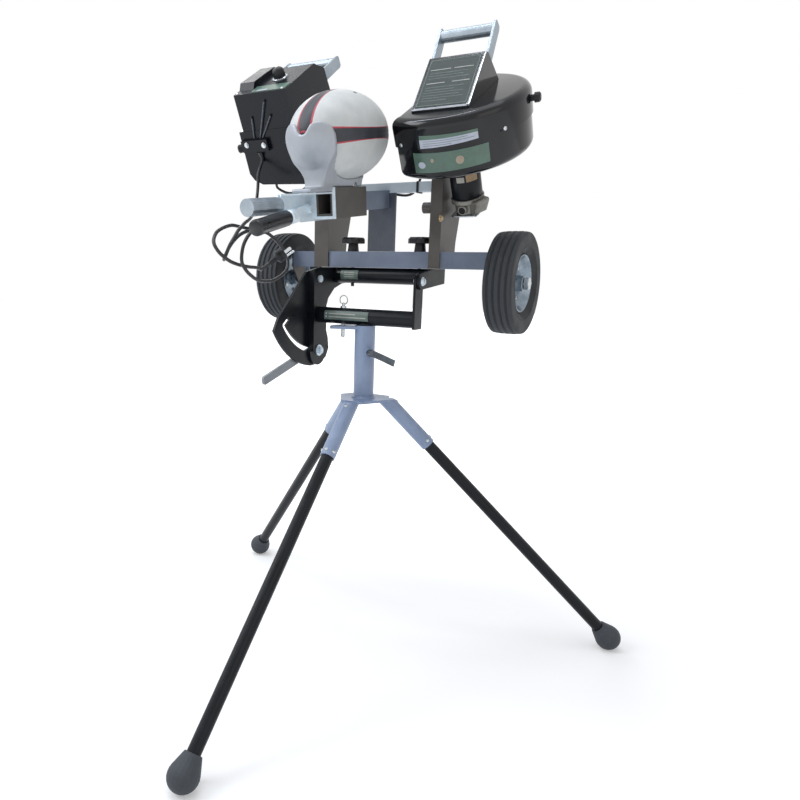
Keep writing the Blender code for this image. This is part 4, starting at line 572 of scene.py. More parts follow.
linkPoints += along(atPost, [
    (-0.141, 0.010, 1.131), (-0.134, 0.045, 1.141), (-0.123, 0.072, 1.147),
    (-0.110, 0.095, 1.148), (-0.098, 0.105, 1.140), (-0.082, 0.103, 1.128),
    (-0.055, 0.1015, 1.123), (-0.025, 0.1015, 1.121), (0.004, 0.1015, 1.118),
    (0.026, 0.102, 1.1135), (0.046, 0.102, 1.112), (0.062, 0.102, 1.117),
    (0.072, 0.102, 1.131), (0.080, 0.102, 1.150), (0.094, 0.105, 1.170),
    (0.108, 0.106, 1.180),
])
linkPoints += along(rightUnit, [(-0.072, 0.030, linkFoot - 0.010), (-0.072, 0.030, linkFoot)])

lead, leadRoute, leadLength = makeCord(
    "leadSheath", leadPoints, cords["leadDiameter"], "mains_lead")
link, linkRoute, linkLength = makeCord(
    "linkSheath", linkPoints, cords["linkDiameter"], "link_cable")


# Ribbed, tapered sleeve where the lead leaves the clamp block.
def strainRelief():
    inner = cords["leadDiameter"] / 2 + 0.0001
    profile = [(inner, 0.0)]
    profile += [(0.0070 - 0.0026 * k / 6 - (0.0007 if k % 2 else 0), 0.0003 + 0.0235 * k / 12)
                for k in range(13)]
    profile += [(inner, 0.0240)]
    place = facing(leadRoute[0], leadRoute[3] - leadRoute[0])
    sleeve = spun("leadStrainRelief", profile, 24, pvcSheath, place, closed=True)
    return sleeve


plug = {
    "aim": (0.609, 0.527, 0.593),
    "bladeX": (-0.0064, 0.0064), "blade": ((-0.0032, 0.0032), (0.0372, 0.0540)),
    "bladeHalf": 0.0008, "pinY": -0.0085, "pinRadius": 0.0024,
}


# Ribbed neck, waisted body, two flat blades with rounded tips and a round pin.
def makePlug():
    place = facing(leadRoute[-1], plug["aim"])
    profile = [(0, gap), (0.0040, gap)]
    profile += [(0.0047 + 0.0015 * k / 7 - (0.0006 if k % 2 else 0), 0.001 + 0.0020 * k)
                for k in range(8)]
    profile += [(0.0075, 0.0170), (0.0122, 0.0200), (0.0133, 0.0218), (0.0133, 0.0256),
                (0.0124, 0.0262), (0.0124, 0.0274), (0.0133, 0.0280), (0.0133, 0.0358),
                (0.0124, 0.0378), (0, 0.0380)]
    pieces = [spun("plugBody", profile, 40, knobPlastic, place)]
    standIn(pieces[0], "mains_plug")
    half = plug["bladeHalf"]
    for k, x in enumerate(plug["bladeX"]):
        blade = slab(softened(oblong(*plug["blade"]), 0.0014), x - half, x + half, "x", 0.0002)
        pieces.append(makePiece("plugBlade%d" % k, blade, brightSteel, place))
    radius = plug["pinRadius"]
    pin = [(0, 0.0372), (radius, 0.0372), (radius, 0.0550), (0.0014, 0.0567), (0, 0.0570)]
    pieces.append(spun("plugPin", pin, 16, brightSteel, place @ moved((0, plug["pinY"], 0))))
    return pieces


relief = strainRelief()
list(makePlug())
print("cords laid: lead %.3f m, link %.3f m" % (leadLength, linkLength))


# CAD nodes that keep their shape

nodeFinishes = [
    (bluePowderCoat, "tripod_hub"),
    (blackEnamel, "leg_near leg_right leg_left swivel_tube swivel_arm_right swivel_arm_left"),
    (blackEnamel, "quadrant_plate tilt_ear_right tilt_tube"),
    (footRubber, "foot_near foot_right foot_left"),
    (darkLever, "swivel_clamp_screw"),
    (zincPlate, "pivot_bolt_right pivot_bolt_left tilt_clamp_bolt"),
    (zincPlate, "carriage_bracket feed_lever_link"),
    (silverPowderCoat, "tilt_lock_lever"),
    (brightSteel, "index_pin"),
    (greyBluePowderCoat, "main_bar slide_rail"),
    # grey coat with a painted warm reflection
    (greyCoatWarmReflection, "upright_right upright_left carriage_sleeve"),
    # middle post: the bar's coat darkened as painted shade
    (shadedGreyBlueCoat, "middle_post"),
    (paleBluePowderCoat, "cross_bar"),
    (knobPlastic, "star_knob_right star_knob_left cover_knob_right cover_knob_left speed_dial"),
    (brownGreyPaint, "wheel_axle_right wheel_axle_left"),
    (tyreRubber, "throwing_wheel_right throwing_wheel_left"),
    (castAluminium, "throwing_hub_right throwing_hub_left"),
    (formedAbs, "panel_box"),
    (satinAbs, "control_box"),
    (brushedAluminium, "carry_handle_right carry_handle_left push_handle"),
]
for finish, names in nodeFinishes:
    for nodeName in names.split():
        for slot in nodes[nodeName].material_slots:
            slot.material = finish
print("CAD nodes finished: %d" % sum(len(names.split()) for _, names in nodeFinishes))


# Covers of the two throwing units

covers = {
    "wall": 0.003, "seam": 0.005, "lap": 0.004, "roundTop": 0.018, "roundLow": 0.016,
    "planCorner": {1: 0.012, -1: 0.008},  # right, left
    "window": (0.074, 0.037),  # half its length and height
    "windowReach": (0.010, 0.022),  # how far it cuts outside and inside the flat
    "edgeSteps": 7,  # steps round each broad edge
}


# Outline of a cover from above: a circle with one flat side, and a rear flat on the left unit.
def coverPlan(sign, shrink):
    radius = unit["radius"] - shrink
    opening = math.degrees(math.acos((unit["flat"] - shrink) / radius))
    if sign > 0:
        points = arc((0, 0), radius, 180 + opening, 540 - opening, 88)
    else:
        rearOpening = math.degrees(math.acos((unit["rearFlat"] - shrink) / radius))
        points = arc((0, 0), radius, opening, 270 - rearOpening, 66)
        points += arc((0, 0), radius, 270 + rearOpening, 360 - opening, 4)
    return softened(points, covers["planCorner"][sign] - shrink / 2, 5)


# A formed tray: inner floor and wall, rim, outer wall, broad round edge, outer floor.
def coverTray(sign, base, rim, corner, crown):
    up = 1 if crown > rim else -1
    wall = covers["wall"]

    def ring(shrink, z):
        return [(x, y, z) for x, y in coverPlan(sign, shrink)]

    rings = [ring(base + corner, crown - up * wall), ring(base + wall, crown - up * corner),
             ring(base + wall, rim), ring(base, rim)]
    for k in range(covers["edgeSteps"] + 1):
        turn = math.pi / 2 * k / covers["edgeSteps"]
        rings.append(ring(base + corner * (1 - math.cos(turn)),
                          crown - up * corner * (1 - math.sin(turn))))
    return skin(rings)


# Opening in the flat side, where the throwing wheel reaches the ball.
def cutWindow(piece, sign, place):
    outside, inside = covers["windowReach"]
    half, high = covers["window"]
    ends = sorted((-sign * (unit["flat"] + outside), -sign * (unit["flat"] - inside)))
    bm = slab(oblong(ends, (-half, half)), -high, high)
    bmesh.ops.transform(bm, matrix=place, verts=bm.verts)
    bmesh.ops.recalc_face_normals(bm, faces=bm.faces)
    cutter = addObject("window", toMesh("window", bm))
    step = piece.modifiers.new("window", "BOOLEAN")
    step.operation = "DIFFERENCE"
    step.solver = "EXACT"
    step.object = cutter
    bake(piece).set_sharp_from_angle(angle=math.radians(sharpAngle))
    bpy.data.objects.remove(cutter, do_unlink=True)


def makeCovers():
    wall, seam, half = covers["wall"], covers["seam"], unit["half"]
    for side, sign, place in (("Right", 1, rightUnit), ("Left", -1, leftUnit)):
        top = coverTray(sign, 0.0, seam, covers["roundTop"], half)
        low = coverTray(sign, wall + gap, seam + covers["lap"], covers["roundLow"], -half)
        for part, bm, node in (("upperCover", top, "upper_cover_"),
                               ("lowerCover", low, "lower_cover_")):
            piece = makePiece(part + side, bm, formedAbs, place)
            cutWindow(piece, sign, place)
            standIn(piece, node + side.lower())


makeCovers()
print("covers formed")


# Labels, generic, and screws on the units

upperFace, lowerFace = unit["radius"], unit["radius"] - covers["wall"] - gap
coverLabels = {
    "patches": {
        "Pale": (paleVinyl, upperFace, (-98.7, -54.3), (0.0072, 0.0240, 0.0110, 0.0242)),
        "Strip": (greenVinyl, upperFace, (-98.5, -54.2), (0.0240, 0.0326, 0.0242, 0.0295)),
        "Green": (greenVinyl, lowerFace, (-107.6, -46.7), (-0.0435, -0.0030, -0.0408, -0.0034)),
    },
    "ruleStart": -96, "ruleEnds": (-62, -57, -74), "ruleZ": 0.0205, "ruleStep": 0.0042,
    "ruleHalf": 0.0004,
    "spots": {
        "Oval": (paleVinyl, -100.5, -0.0275, (0.0085, 0.0068)),
        "Dot": (tanInk, -91.0, -0.0185, (0.0036, 0.0042)),
        "Disc": (tanInk, -69.5, -0.0230, (0.0082, 0.0082)),
    },
    "lines": ((-104, -94, -0.0105), (-88, -76, -0.0075), (-74, -62, -0.0105), (-62, -52, -0.0165),
              (-88, -80, -0.0320), (-62, -52, -0.0205)),
    "lineHalf": 0.0005, "inkThick": 0.0005,
}


def labelCovers():
    thick = coverLabels["inkThick"]
    for label, (vinyl, radius, turn, z) in coverLabels["patches"].items():
        patch("coverLabel" + label, vinyl, rightUnit, radius, turn, z)
    for k, end in enumerate(coverLabels["ruleEnds"]):  # plain ruled lines
        z, half = coverLabels["ruleZ"] - coverLabels["ruleStep"] * k, coverLabels["ruleHalf"]
        patch("coverLabelRule%d" % k, oliveVinyl, rightUnit, upperFace,
              (coverLabels["ruleStart"], end), (z - half, z + half, z, z + 2 * half), thick)
    for label, (ink, turn, z, size) in coverLabels["spots"].items():
        spot("coverLabel" + label, ink, rightUnit, lowerFace, turn, z, size)
    half = coverLabels["lineHalf"]
    for k, (start, end, z) in enumerate(coverLabels["lines"]):
        patch("coverLabelLine%d" % k, faintInk, rightUnit, lowerFace, (start, end),
              (z - half, z + half), thick)


labelCovers()

seamScrews = {
    "right": (-118.4, -32.8, 70, 125), "left": (95, 160, 200), "height": 0.0118, "radius": 0.0042,
    "clip": (-4.6, -1.9), "clipZ": (0.0092, 0.0118), "clipThick": 0.0009,
}


# Screws through the lap of the two covers, with the little spring clip beside each.
def screwSeams():
    start, end = seamScrews["clip"]
    for side, place in (("right", rightUnit), ("left", leftUnit)):
        for k, turn in enumerate(seamScrews[side]):
            out = spoke(turn)
            at = out * unit["radius"] + Vector((0, 0, seamScrews["height"]))
            screw("seamScrew%s%d" % (side.title(), k), at, out, seamScrews["radius"], place)
            patch("seamClip%s%d" % (side.title(), k), satinAbs, place, unit["radius"],
                  (turn + start, turn + end), seamScrews["clipZ"], seamScrews["clipThick"], 6)


screwSeams()

panel = {
    "top": (0.029, 0.130), "low": (-0.095, 0.0648),  # (y, z) of the sloped face's edges, unit frame
    "film": ((-0.0535, 0.0598), (0.0055, 0.1340)),  # left and right, top and low down the slope
    "inset": 0.003, "frameTop": 0.004, "frameLine": 0.0011,
    "rules": ((-0.0450, 0.000, 0.0355), (0.0071, 0.0480, 0.0355), (-0.0440, -0.004, 0.0720),
              (0.0115, 0.0490, 0.0720)),  # start, end, how far down the slope
    "ruleHalf": 0.0008,
    "lines": ((0.9, 0.045), (0.8, 0.052), (0.95, 0.059), (0.9, 0.083), (0.7, 0.090), (0.92, 0.097),
              (0.85, 0.104), (0.96, 0.111), (0.6, 0.118)),  # share of the full length, how far down
    "lineStart": -0.043, "lineLength": 0.092, "lineHalf": 0.0005,
    "heights": {"film": (-0.0003, 0.0008), "frame": (0.0005, 0.0010), "rule": (0.0005, 0.0011),
                "line": (0.0005, 0.00095)},
    "edges": {  # across, up the slope, out of it
        # the bright steel strip along the panel's right edge is a painted highlight of that edge
        "PaintedHighlight": ((0.0634, 0.0657), (-0.1375, -0.0030), (-0.0008, 0.0009), brightSteel, 0.0004),
        "Left": ((-0.0575, -0.0545), (-0.1360, -0.0040), (-0.0006, 0.0007), satinAbs, 0.0003),
    },
    "screwAt": (0.0617, -0.1358, 0.0006), "screwRadius": 0.0026,
}


# Matrix of the sloped panel: X across, Y up the slope from its top edge, Z out of it.
def panelPlace():
    (topY, topZ), (lowY, lowZ) = panel["top"], panel["low"]
    across, up = Vector((1, 0, 0)), Vector((0, topY - lowY, topZ - lowZ)).normalized()
    turn = Matrix((across, up, across.cross(up))).transposed().to_4x4()
    return rightUnit @ Matrix.Translation((0, topY, topZ)) @ turn


def dressPanel():
    place, heights = panelPlace(), panel["heights"]
    (left, right), (top, low) = panel["film"]
    plate("panelFilmSheet", (left, right), (-low, -top), heights["film"], panelFilm, place,
          panel["inset"], 0.0003)
    left, right, line = left + panel["inset"], right - panel["inset"], panel["frameLine"]
    top, low = -top - panel["frameTop"], -low + panel["inset"]
    frameLines = (((left, right), (top, top + line)), ((left, right), (low, low + line)),
                  ((left, left + line), (low, top)), ((right - line, right), (low, top)))
    for k, (x, y) in enumerate(frameLines):
        plate("panelFrame%d" % k, x, y, heights["frame"], faintInk, place)
    half = panel["ruleHalf"]
    for k, (start, end, down) in enumerate(panel["rules"]):
        plate("panelRule%d" % k, (start, end), (-down - half, -down + half), heights["rule"],
              lineInk, place)
    start, half = panel["lineStart"], panel["lineHalf"]
    for k, (share, down) in enumerate(panel["lines"]):  # faint ruled lines, no lettering
        end = start + panel["lineLength"] * share
        plate("panelLine%d" % k, (start, end), (-down - half, -down + half), heights["line"],
              faintInk, place)
    # edge strips; the bright one on the right edge is a painted highlight
    for name, (x, y, z, material, edge) in panel["edges"].items():
        plate("panelEdge" + name, x, y, z, material, place, edge=edge)
    screw("panelScrew", panel["screwAt"], (0, 0, 1), panel["screwRadius"], place)


dressPanel()
print("right unit dressed")


# Left housing: wires, clamp screws, roof strip, dial and collar

housing = {
    "wall": -0.1378,  # y of the rear wall's face, unit frame
    "wires": [((0.0048, 0.1287), (-0.0300, 0.0540)), ((-0.0397, 0.0974), (-0.0465, 0.0540)),
              ((0.0121, 0.0980), (-0.0235, 0.0540))],
    "wireRadius": 0.0015, "wireOut": (0.0009, 0.0028),  # how far the ends stand off the wall
    "bushRadius": 0.0026, "bushUp": 0.001,
    "clampScrews": [(-0.0680, 0.0427), (-0.0210, 0.0394)],
    "roofFront": (-0.001, 0.1615), "roofRear": (-0.1335, 0.1475),  # (y, z), unit frame
    "roofScrews": ((-0.068, 0.0002), (0.053, 0.0007)),
    "roofScrewY": -0.1275, "roofScrewRadius": 0.0030,
    "roofLabels": {  # across, along, up; vinyl; corner and edge radius
        "roofStrip": ((-0.030, 0.0600), (-0.1295, -0.0985), (-0.0003, 0.0007), greenVinyl,
                      0.002, 0.0003),
        "roofStripPatch": ((-0.016, 0.012), (-0.1262, -0.1212), (0.0004, 0.0011), paleVinyl,
                           0.001, 0.0),
    },
    "collar": [(0.0140, 0.0001), (0.0180, 0.0001), (0.0180, 0.0012), (0.0165, 0.0022),
               (0.0140, 0.0022)],
    "dialAt": (0.009, -0.0612, 0), "dialRadius": 0.0136, "dialHigh": 0.0215, "flutes": 18,
    "fluteShare": 0.035,
    "ticks": 11, "tickStep": 24, "tick": ((-0.0005, 0.0005), (0.0195, 0.0235)),
}


def rodBetween(start, end, radius, steps=12):
    start, end = Vector(start), Vector(end)
    length = (end - start).length
    bm = lathe([(0, 0), (radius * 0.8, 0), (radius, radius * 0.3), (radius, length - radius * 0.3),
                (radius * 0.8, length), (0, length)], steps)
    bmesh.ops.transform(bm, matrix=facing(start, end - start), verts=bm.verts)
    return bm


def dressHousing():
    wall, (topOut, lowOut) = housing["wall"], housing["wireOut"]
    for k, ((topX, topZ), (lowX, lowZ)) in enumerate(housing["wires"]):
        rod = rodBetween((topX, wall - topOut, topZ), (lowX, wall - lowOut, lowZ),
                         housing["wireRadius"])
        # the wires' grey is a painted highlight on black wire
        makePiece("housingWire%d" % k, rod, paintedHighlightWire, leftUnit)
        screw("wireBush%d" % k, (topX, wall, topZ + housing["bushUp"]), (0, -1, 0),
              housing["bushRadius"], leftUnit, satinAbs)
    for k, (x, z) in enumerate(housing["clampScrews"]):
        hexHead("clampScrew%d" % k, "clamp", (x, clampBack, z), (0, -1, 0), leftUnit)
    (frontY, frontZ), (rearY, rearZ) = housing["roofFront"], housing["roofRear"]
    slope = math.degrees(math.atan2(frontZ - rearZ, frontY - rearY))
    roof = leftUnit @ moved((0, frontY, frontZ), slope, "X")
    for name, (x, y, z, vinyl, corner, edge) in housing["roofLabels"].items():
        plate(name, x, y, z, vinyl, roof, corner, edge)
    for k, (x, z) in enumerate(housing["roofScrews"]):
        screw("roofScrew%d" % k, (x, housing["roofScrewY"], z), (0, 0, 1),
              housing["roofScrewRadius"], roof)
    makeDial(roof @ Matrix.Translation(housing["dialAt"]))


# Fluted knob with a pointer, on a bright collar with plain scale ticks round it.
def makeDial(place):
    spun("dialCollar", housing["collar"], 32, brightSteel, place, closed=True)
    radius, high = housing["dialRadius"], housing["dialHigh"]
    knob = lathe([(0, 0.0026), (radius - 0.0008, 0.0026), (radius, 0.0036),
                  (radius - 0.0002, high * 0.62), (radius - 0.0014, high * 0.80),
                  (radius - 0.0042, high * 0.94), (radius - 0.0072, high), (0, high - 0.0004)], 108)
    for vertex in knob.verts:
        if math.hypot(vertex.co.x, vertex.co.y) > radius - 0.0020:
            turn = math.atan2(vertex.co.y, vertex.co.x)
            vertex.co.xy *= 1 - housing["fluteShare"] * max(0.0, math.cos(housing["flutes"] * turn))
    standIn(makePiece("dialKnob", knob, knobPlastic, place, "dial"), "speed_dial")
    plate("dialPointer", (-0.0005, 0.0005), (0.0020, 0.0088), (high - 0.0006, high + 0.0004),
          lineInk, place, body="dial")
    for k in range(housing["ticks"]):
        turned = place @ moved((0, 0, 0), 120 - housing["tickStep"] * k)
        plate("dialTick%d" % k, *housing["tick"], (-0.0002, 0.0003), lineInk, turned)


dressHousing()
print("left housing dressed")


# Motors

motor = {
    "radius": 0.034, "top": -0.0674, "can": 0.086, "length": 0.125,
    "brushReach": 0.0275, "brushZ": -0.1735, "boltReach": 0.024, "boltTurn": 62, "wingTurn": -32,
    "caps": {"Right": -92, "Left": -70},
    "tags": {"Paper": (paperTag, (-102, -72.5), (-0.1124, -0.1005)),
             "Tape": (maskingTape, (-66, -21), (-0.1125, -0.0960))},
    "tagThick": 0.0006,
    "holder": [(0, 0), (0.0108, 0), (0.0108, 0.0105), (0.0096, 0.0120), (0.0080, 0.0120),
               (0.0080, 0.0100), (0, 0.0100)],
    "cap": [(0, 0.0098), (0.0078, 0.0098), (0.0078, 0.0112), (0.0064, 0.0118), (0.0040, 0.0112),
            (0, 0.0112)],
    "wing": [(0.020, -0.1560), (0.0470, -0.1560), (0.0490, -0.1580), (0.0490, -0.1630),
             (0.0350, -0.1895), (0.012, -0.1895)],
    "wingY": (-0.016, 0.022), "wingEdge": 0.0015,
    "footPlate": ((-0.034, 0.030), (-0.034, 0.020)), "footCorner": 0.010, "footEdge": 0.0006,
}


def makeMotor(side, place):
    top, radius, cap = motor["top"], motor["radius"], motor["caps"][side]
    bell, foot = top - motor["can"], top - motor["length"]
    can = [(0, top), (radius - 0.001, top), (radius, top - 0.001), (radius, top - 0.020),
           (radius - 0.0006, top - 0.021), (radius - 0.0006, top - 0.0225),
           (radius, top - 0.0235), (radius, bell + 0.003), (radius - 0.0008, bell), (0, bell)]
    standIn(spun("motorCan" + side, can, 56, blackEnamel, place), "motor_" + side.lower())
    shell = [(0, bell), (radius + 0.002, bell), (radius + 0.003, bell - 0.001),
             (radius + 0.003, bell - 0.009), (radius + 0.001, bell - 0.011),
             (radius - 0.004, bell - 0.0135), (radius - 0.0045, foot + 0.006),
             (radius - 0.0075, foot + 0.0035), (0.015, foot + 0.002), (0.012, foot), (0, foot)]
    spun("motorBell" + side, shell, 56, castZinc, place)
    for k, turn in enumerate((cap, cap + 180)):  # brush holders with black caps
        out = spoke(turn)
        holder = place @ facing(out * motor["brushReach"] + Vector((0, 0, motor["brushZ"])), out)
        spun("brushHolder%s%d" % (side, k), motor["holder"], 28, castZinc, holder)
        spun("brushCap%s%d" % (side, k), motor["cap"], 24, darkHole, holder)
    wing = slab(motor["wing"], *motor["wingY"], "y", motor["wingEdge"])
    makePiece("motorWing" + side, wing, castZinc, place @ moved((0, 0, 0), motor["wingTurn"]))
    plate("motorFootPlate" + side, *motor["footPlate"], (foot + 0.0012, foot + 0.0038),
          brightSteel, place, motor["footCorner"], motor["footEdge"])
    for k, turn in enumerate((cap + motor["boltTurn"], cap - motor["boltTurn"])):
        at = spoke(turn) * motor["boltReach"] + Vector((0, 0, foot + 0.0014))
        hexHead("throughBolt%s%d" % (side, k), "through", at, (0, 0, -1), place, brassPlate)


makeMotor("Right", rightUnit)
makeMotor("Left", leftUnit)
for tagName, (paper, turn, z) in motor["tags"].items():
    patch("motorTag" + tagName, paper, rightUnit, motor["radius"], turn, z, motor["tagThick"])
print("motors made")


# Rugby ball

ball = {
    "centre": (0, -0.130, 1.211), "pitch": 10, "half": 0.138, "radius": 0.0885,
    "rows": 84, "panelColumns": 12,
    "seamHalf": 0.0020, "seamDeep": 0.0011,  # pressed groove along each seam
    "bandHalf": 0.0100, "bandFlare": 0.0045,  # dark band over each seam, broader towards the tips
    "edgeHalf": 0.0013, "edgeFlare": 0.0034,  # red edging of the bands
    "cap": 0.040, "capEdge": 0.050,  # shares of the length that the dark tips take
    "seamMost": 6, "bandMost": 30, "edgeMost": 8,  # degrees they may take near the tips
    "seamEnds": (0.02, 0.98),  # shares of the length between which the seam is pressed
    "valveTurn": 62, "sharp": 60,  # degrees
    "valve": [(0, -0.0006), (0.0042, -0.0006), (0.0042, 0.0002), (0.0030, 0.0005),
              (0.0012, 0.0001), (0, 0.0001)],
}


# Angles of a quarter of a ring, seam to seam, with the band's edges in the same columns everywhere.
def ballColumns(share, radius):
    flare = math.cos(math.pi * share) ** 2

    def span(width, most):
        return min(math.degrees(width / max(radius, 1e-6)), most)

    seam = span(ball["seamHalf"], ball["seamMost"])
    band = span(ball["bandHalf"] + ball["bandFlare"] * flare, ball["bandMost"])
    edge = band + span(ball["edgeHalf"] + ball["edgeFlare"] * flare, ball["edgeMost"])
    near = [0, seam, (seam + band) / 2, band, edge]
    steps = ball["panelColumns"] + 1
    inner = [edge + (90 - 2 * edge) * k / steps for k in range(1, steps)]
    return near + inner + [90 - angle for angle in reversed(near[1:])]


def ballRing(share):
    lift = math.pi * (share - 0.5)
    radius = ball["radius"] * math.cos(lift)
    first, last = ball["seamEnds"]
    ring = []
    for quarter in range(4):
        for angle in ballColumns(share, radius):
            turn = math.radians(angle + 90 * quarter)
            across = math.radians(min(angle, 90 - angle)) * radius
            dip = ball["seamDeep"] * math.exp(-(across / (0.6 * ball["seamHalf"])) ** 2)
            r = radius - dip * math.cos(lift) if first < share < last else radius
            ring.append((r * math.cos(turn), ball["half"] * math.sin(lift), r * math.sin(turn)))
    return ring


# Four-panel ball: dark bands with red edging run from tip to tip over the pressed seams.
def makeBall():
    white, black, red = range(3)
    rows = ball["rows"]
    grid = [ballRing(row / rows) for row in range(rows + 1)]
    count = len(grid[0])
    bm = skin(grid, "open")
    for number, face in enumerate(bm.faces):
        row, i = divmod(number, count)
        share = min(row + 0.5, rows - row - 0.5) / rows
        column = min(i % (count // 4), count // 4 - 1 - i % (count // 4))
        if share < ball["capEdge"]:
            face.material_index = black if share < ball["cap"] else red
        else:
            face.material_index = black if column < 3 else red if column == 3 else white
    weld(bm, 1e-6)
    place = atPost @ moved(ball["centre"], ball["pitch"], "X")
    colours = [ballWhite, ballBlack, ballRed]
    leather = makePiece("ballSkin", bm, colours, place, "ball", ball["sharp"])
    standIn(leather, "ball")
    turn = math.radians(ball["valveTurn"])
    out = Vector((math.cos(turn), 0, math.sin(turn)))
    valvePlace = place @ facing(out * ball["radius"], out)
    spun("ballValve", ball["valve"], 20, knobPlastic, valvePlace, "ball")


makeBall()
print("ball made")


# Transport wheels

wheels = {
    "y": 0.115, "z": 0.917, "x": {"Right": 0.308, "Left": -0.294},
    "tyreRadius": 0.1125, "half": 0.032, "rimRadius": 0.064, "rimHalf": 0.024, "hubHalf": 0.027,
    "axle": 0.008, "dish": 0.0035, "studs": 5, "studReach": 0.0335,
    "studTurn": 0.3,
    "treadHalf": 0.0295, "grooves": (-0.0205, -0.0070, 0.0070, 0.0205), "grooveDepth": 0.0030,
    "groove": ((-0.0034, 0), (-0.0020, 0.8), (-0.0009, 1), (0.0009, 1), (0.0020, 0.8), (0.0034, 0)),
    "crown": 0.0018,  # how far the tread falls away at its edges
    "worn": 0.0022,  # depth of tread that is worn pale
}


def tyreSection():
    half, outer, bead = wheels["half"], wheels["tyreRadius"], wheels["rimRadius"] + gap
    flat, fall = wheels["treadHalf"], wheels["crown"]

    def tread(offset):
        return outer - fall * (abs(offset) / flat) ** 4

    crown = [(tread(flat), -flat)]
    for middle in wheels["grooves"]:
        for offset, share in wheels["groove"]:
            crown.append((tread(middle + offset) - wheels["grooveDepth"] * share, middle + offset))
    crown.append((tread(flat), flat))
    wall = []
    for k in range(1, 9):  # shoulder and side wall
        t = k / 9
        wall.append((outer - fall - (outer - fall - bead - 0.020) * t,
                     flat + (half - flat) * math.sin(math.pi / 2 * min(1.0, t * 4.0))))
    ringAt = bead + 0.0165  # thin raised ring above the bead
    wall += [(ringAt + 0.0014, half - 0.0006), (ringAt + 0.0008, half),
             (ringAt - 0.0008, half - 0.0002), (ringAt - 0.0014, half - 0.0012),
             (bead + 0.0080, half - 0.0050), (bead, wheels["rimHalf"] - 0.004)]
    return [(r, -x) for r, x in reversed(wall)] + crown + wall


def rimSection():
    lip, seat, dish = wheels["rimHalf"], wheels["rimHalf"] - 0.004, wheels["dish"]
    rim, bore, hub = wheels["rimRadius"], wheels["axle"] + gap, wheels["hubHalf"]
    side = [(bore, hub - 0.0005), (bore + 0.0008, hub), (0.0158, hub), (0.0170, hub - 0.0012),
            (0.0176, dish + 0.004), (0.0200, dish + 0.0008), (0.030, dish), (0.040, dish + 0.0004),
            (0.0470, dish + 0.0020), (0.0520, dish + 0.0060), (0.0545, dish + 0.0110),
            (0.0560, seat - 0.003), (0.0585, seat), (0.0602, lip - 0.0010), (rim - 0.0022, lip),
            (rim - 0.0008, lip - 0.0006), (rim, seat)]
    return [(r, -x) for r, x in side] + side[::-1]


def makeWheel(side, x):
    body = "transport_wheel_" + side.lower()
    place = atPost @ moved((x, wheels["y"], wheels["z"]), 90, "Y")
    rubber = lathe(tyreSection(), 120, closed=True)
    for face in rubber.faces:  # the ribs wear paler than the grooves and walls
        middle = face.calc_center_median()
        reach = math.hypot(middle.x, middle.y)
        if abs(middle.z) < wheels["treadHalf"] and reach > wheels["tyreRadius"] - wheels["worn"]:
            face.material_index = 1
    tyre = makePiece("tyre" + side, rubber, [tyreRubber, dustyTread], place, body)
    standIn(tyre, "tyre_" + side.lower())
    rim = spun("rim" + side, rimSection(), 80, wheelSteel, place, body, closed=True)
    standIn(rim, "rim_" + side.lower())
    for face, letter in ((1, "A"), (-1, "B")):
        for k in range(wheels["studs"]):
            a = 2 * math.pi * k / wheels["studs"] + wheels["studTurn"]
            at = (wheels["studReach"] * math.cos(a), wheels["studReach"] * math.sin(a),
                  face * (wheels["dish"] + 0.0002))
            hexHead("rimBolt%s%d%s" % (side, k, letter), "rim", at, (0, 0, face), place,
                    body=body)
    low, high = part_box("wheel_axle_" + side.lower())
    outward, end = (1, high[0]) if x > 0 else (-1, low[0])
    at = (end - outward * 0.0102, wheels["y"], wheels["z"])
    hexHead("axleNut" + side, "axle", at, (outward, 0, 0), atPost)


for wheelSide, wheelX in wheels["x"].items():
    makeWheel(wheelSide, wheelX)
print("wheels made")


# Frame details: labels on the two tubes, socket screws, weld bead, bolt, cable strap

frameTubes = {
    "radius": 0.019, "yoke": (0, 0.832), "head": (0.092, 0.9257),  # (y, z) of each tube
    "baseThick": 0.00035, "inkThick": 0.0005,
    "labels": {  # run along the tube, turn round it from its rear (-Y) side
        "yokeLabel": ("yoke", (-0.1025, 0.0160), (28, -40), oliveVinyl),
        "yokeLabelRule0": ("yoke", (-0.090, -0.018), (-12, -20), lineInk),
        "yokeLabelRule1": ("yoke", (-0.090, 0.010), (10, 2), lineInk),
        "yokeLabelDot0": ("yoke", (-0.0985, -0.0945), (-10, -22), paleVinyl),
        "yokeLabelDot1": ("yoke", (-0.0985, -0.0945), (12, 0), paleVinyl),
        "tiltLabel": ("head", (-0.1145, -0.0655), (28, -40), oliveVinyl),
        "tiltLabelRule0": ("head", (-0.104, -0.076), (-19, -25), lineInk),
        "tiltLabelRule1": ("head", (-0.104, -0.076), (-3, -9), lineInk),
        "tiltLabelRule2": ("head", (-0.104, -0.076), (13, 7), lineInk),
    },
}
sockets = {
    "footReach": 0.643, "footZ": 0.030, "rootReach": 0.0557, "rootZ": 0.636, "skin": 0.0171,
    "sides": {"Near": -90, "Right": 30, "Left": 150},
    "screwRadius": 0.0040,
    "screws": ((0.138, 0.0), (0.138, 1.15), (0.138, -1.15), (0.020, 0.0)),  # run, lean in radians
}
strap = {"x": (0.083, 0.0885), "loop": ((0.0718, 0.0965), (1.1135, 1.1394)), "corner": 0.002}
postWeld = {
    "bead": [(0.0238, 0.6418), (0.0282, 0.6418), (0.0275, 0.6440), (0.0255, 0.6458),
             (0.0240, 0.6466)],
    "ripples": 22, "ripple": 0.02,
}
webBolt = (0.1503, 0.0615, 1.0560)


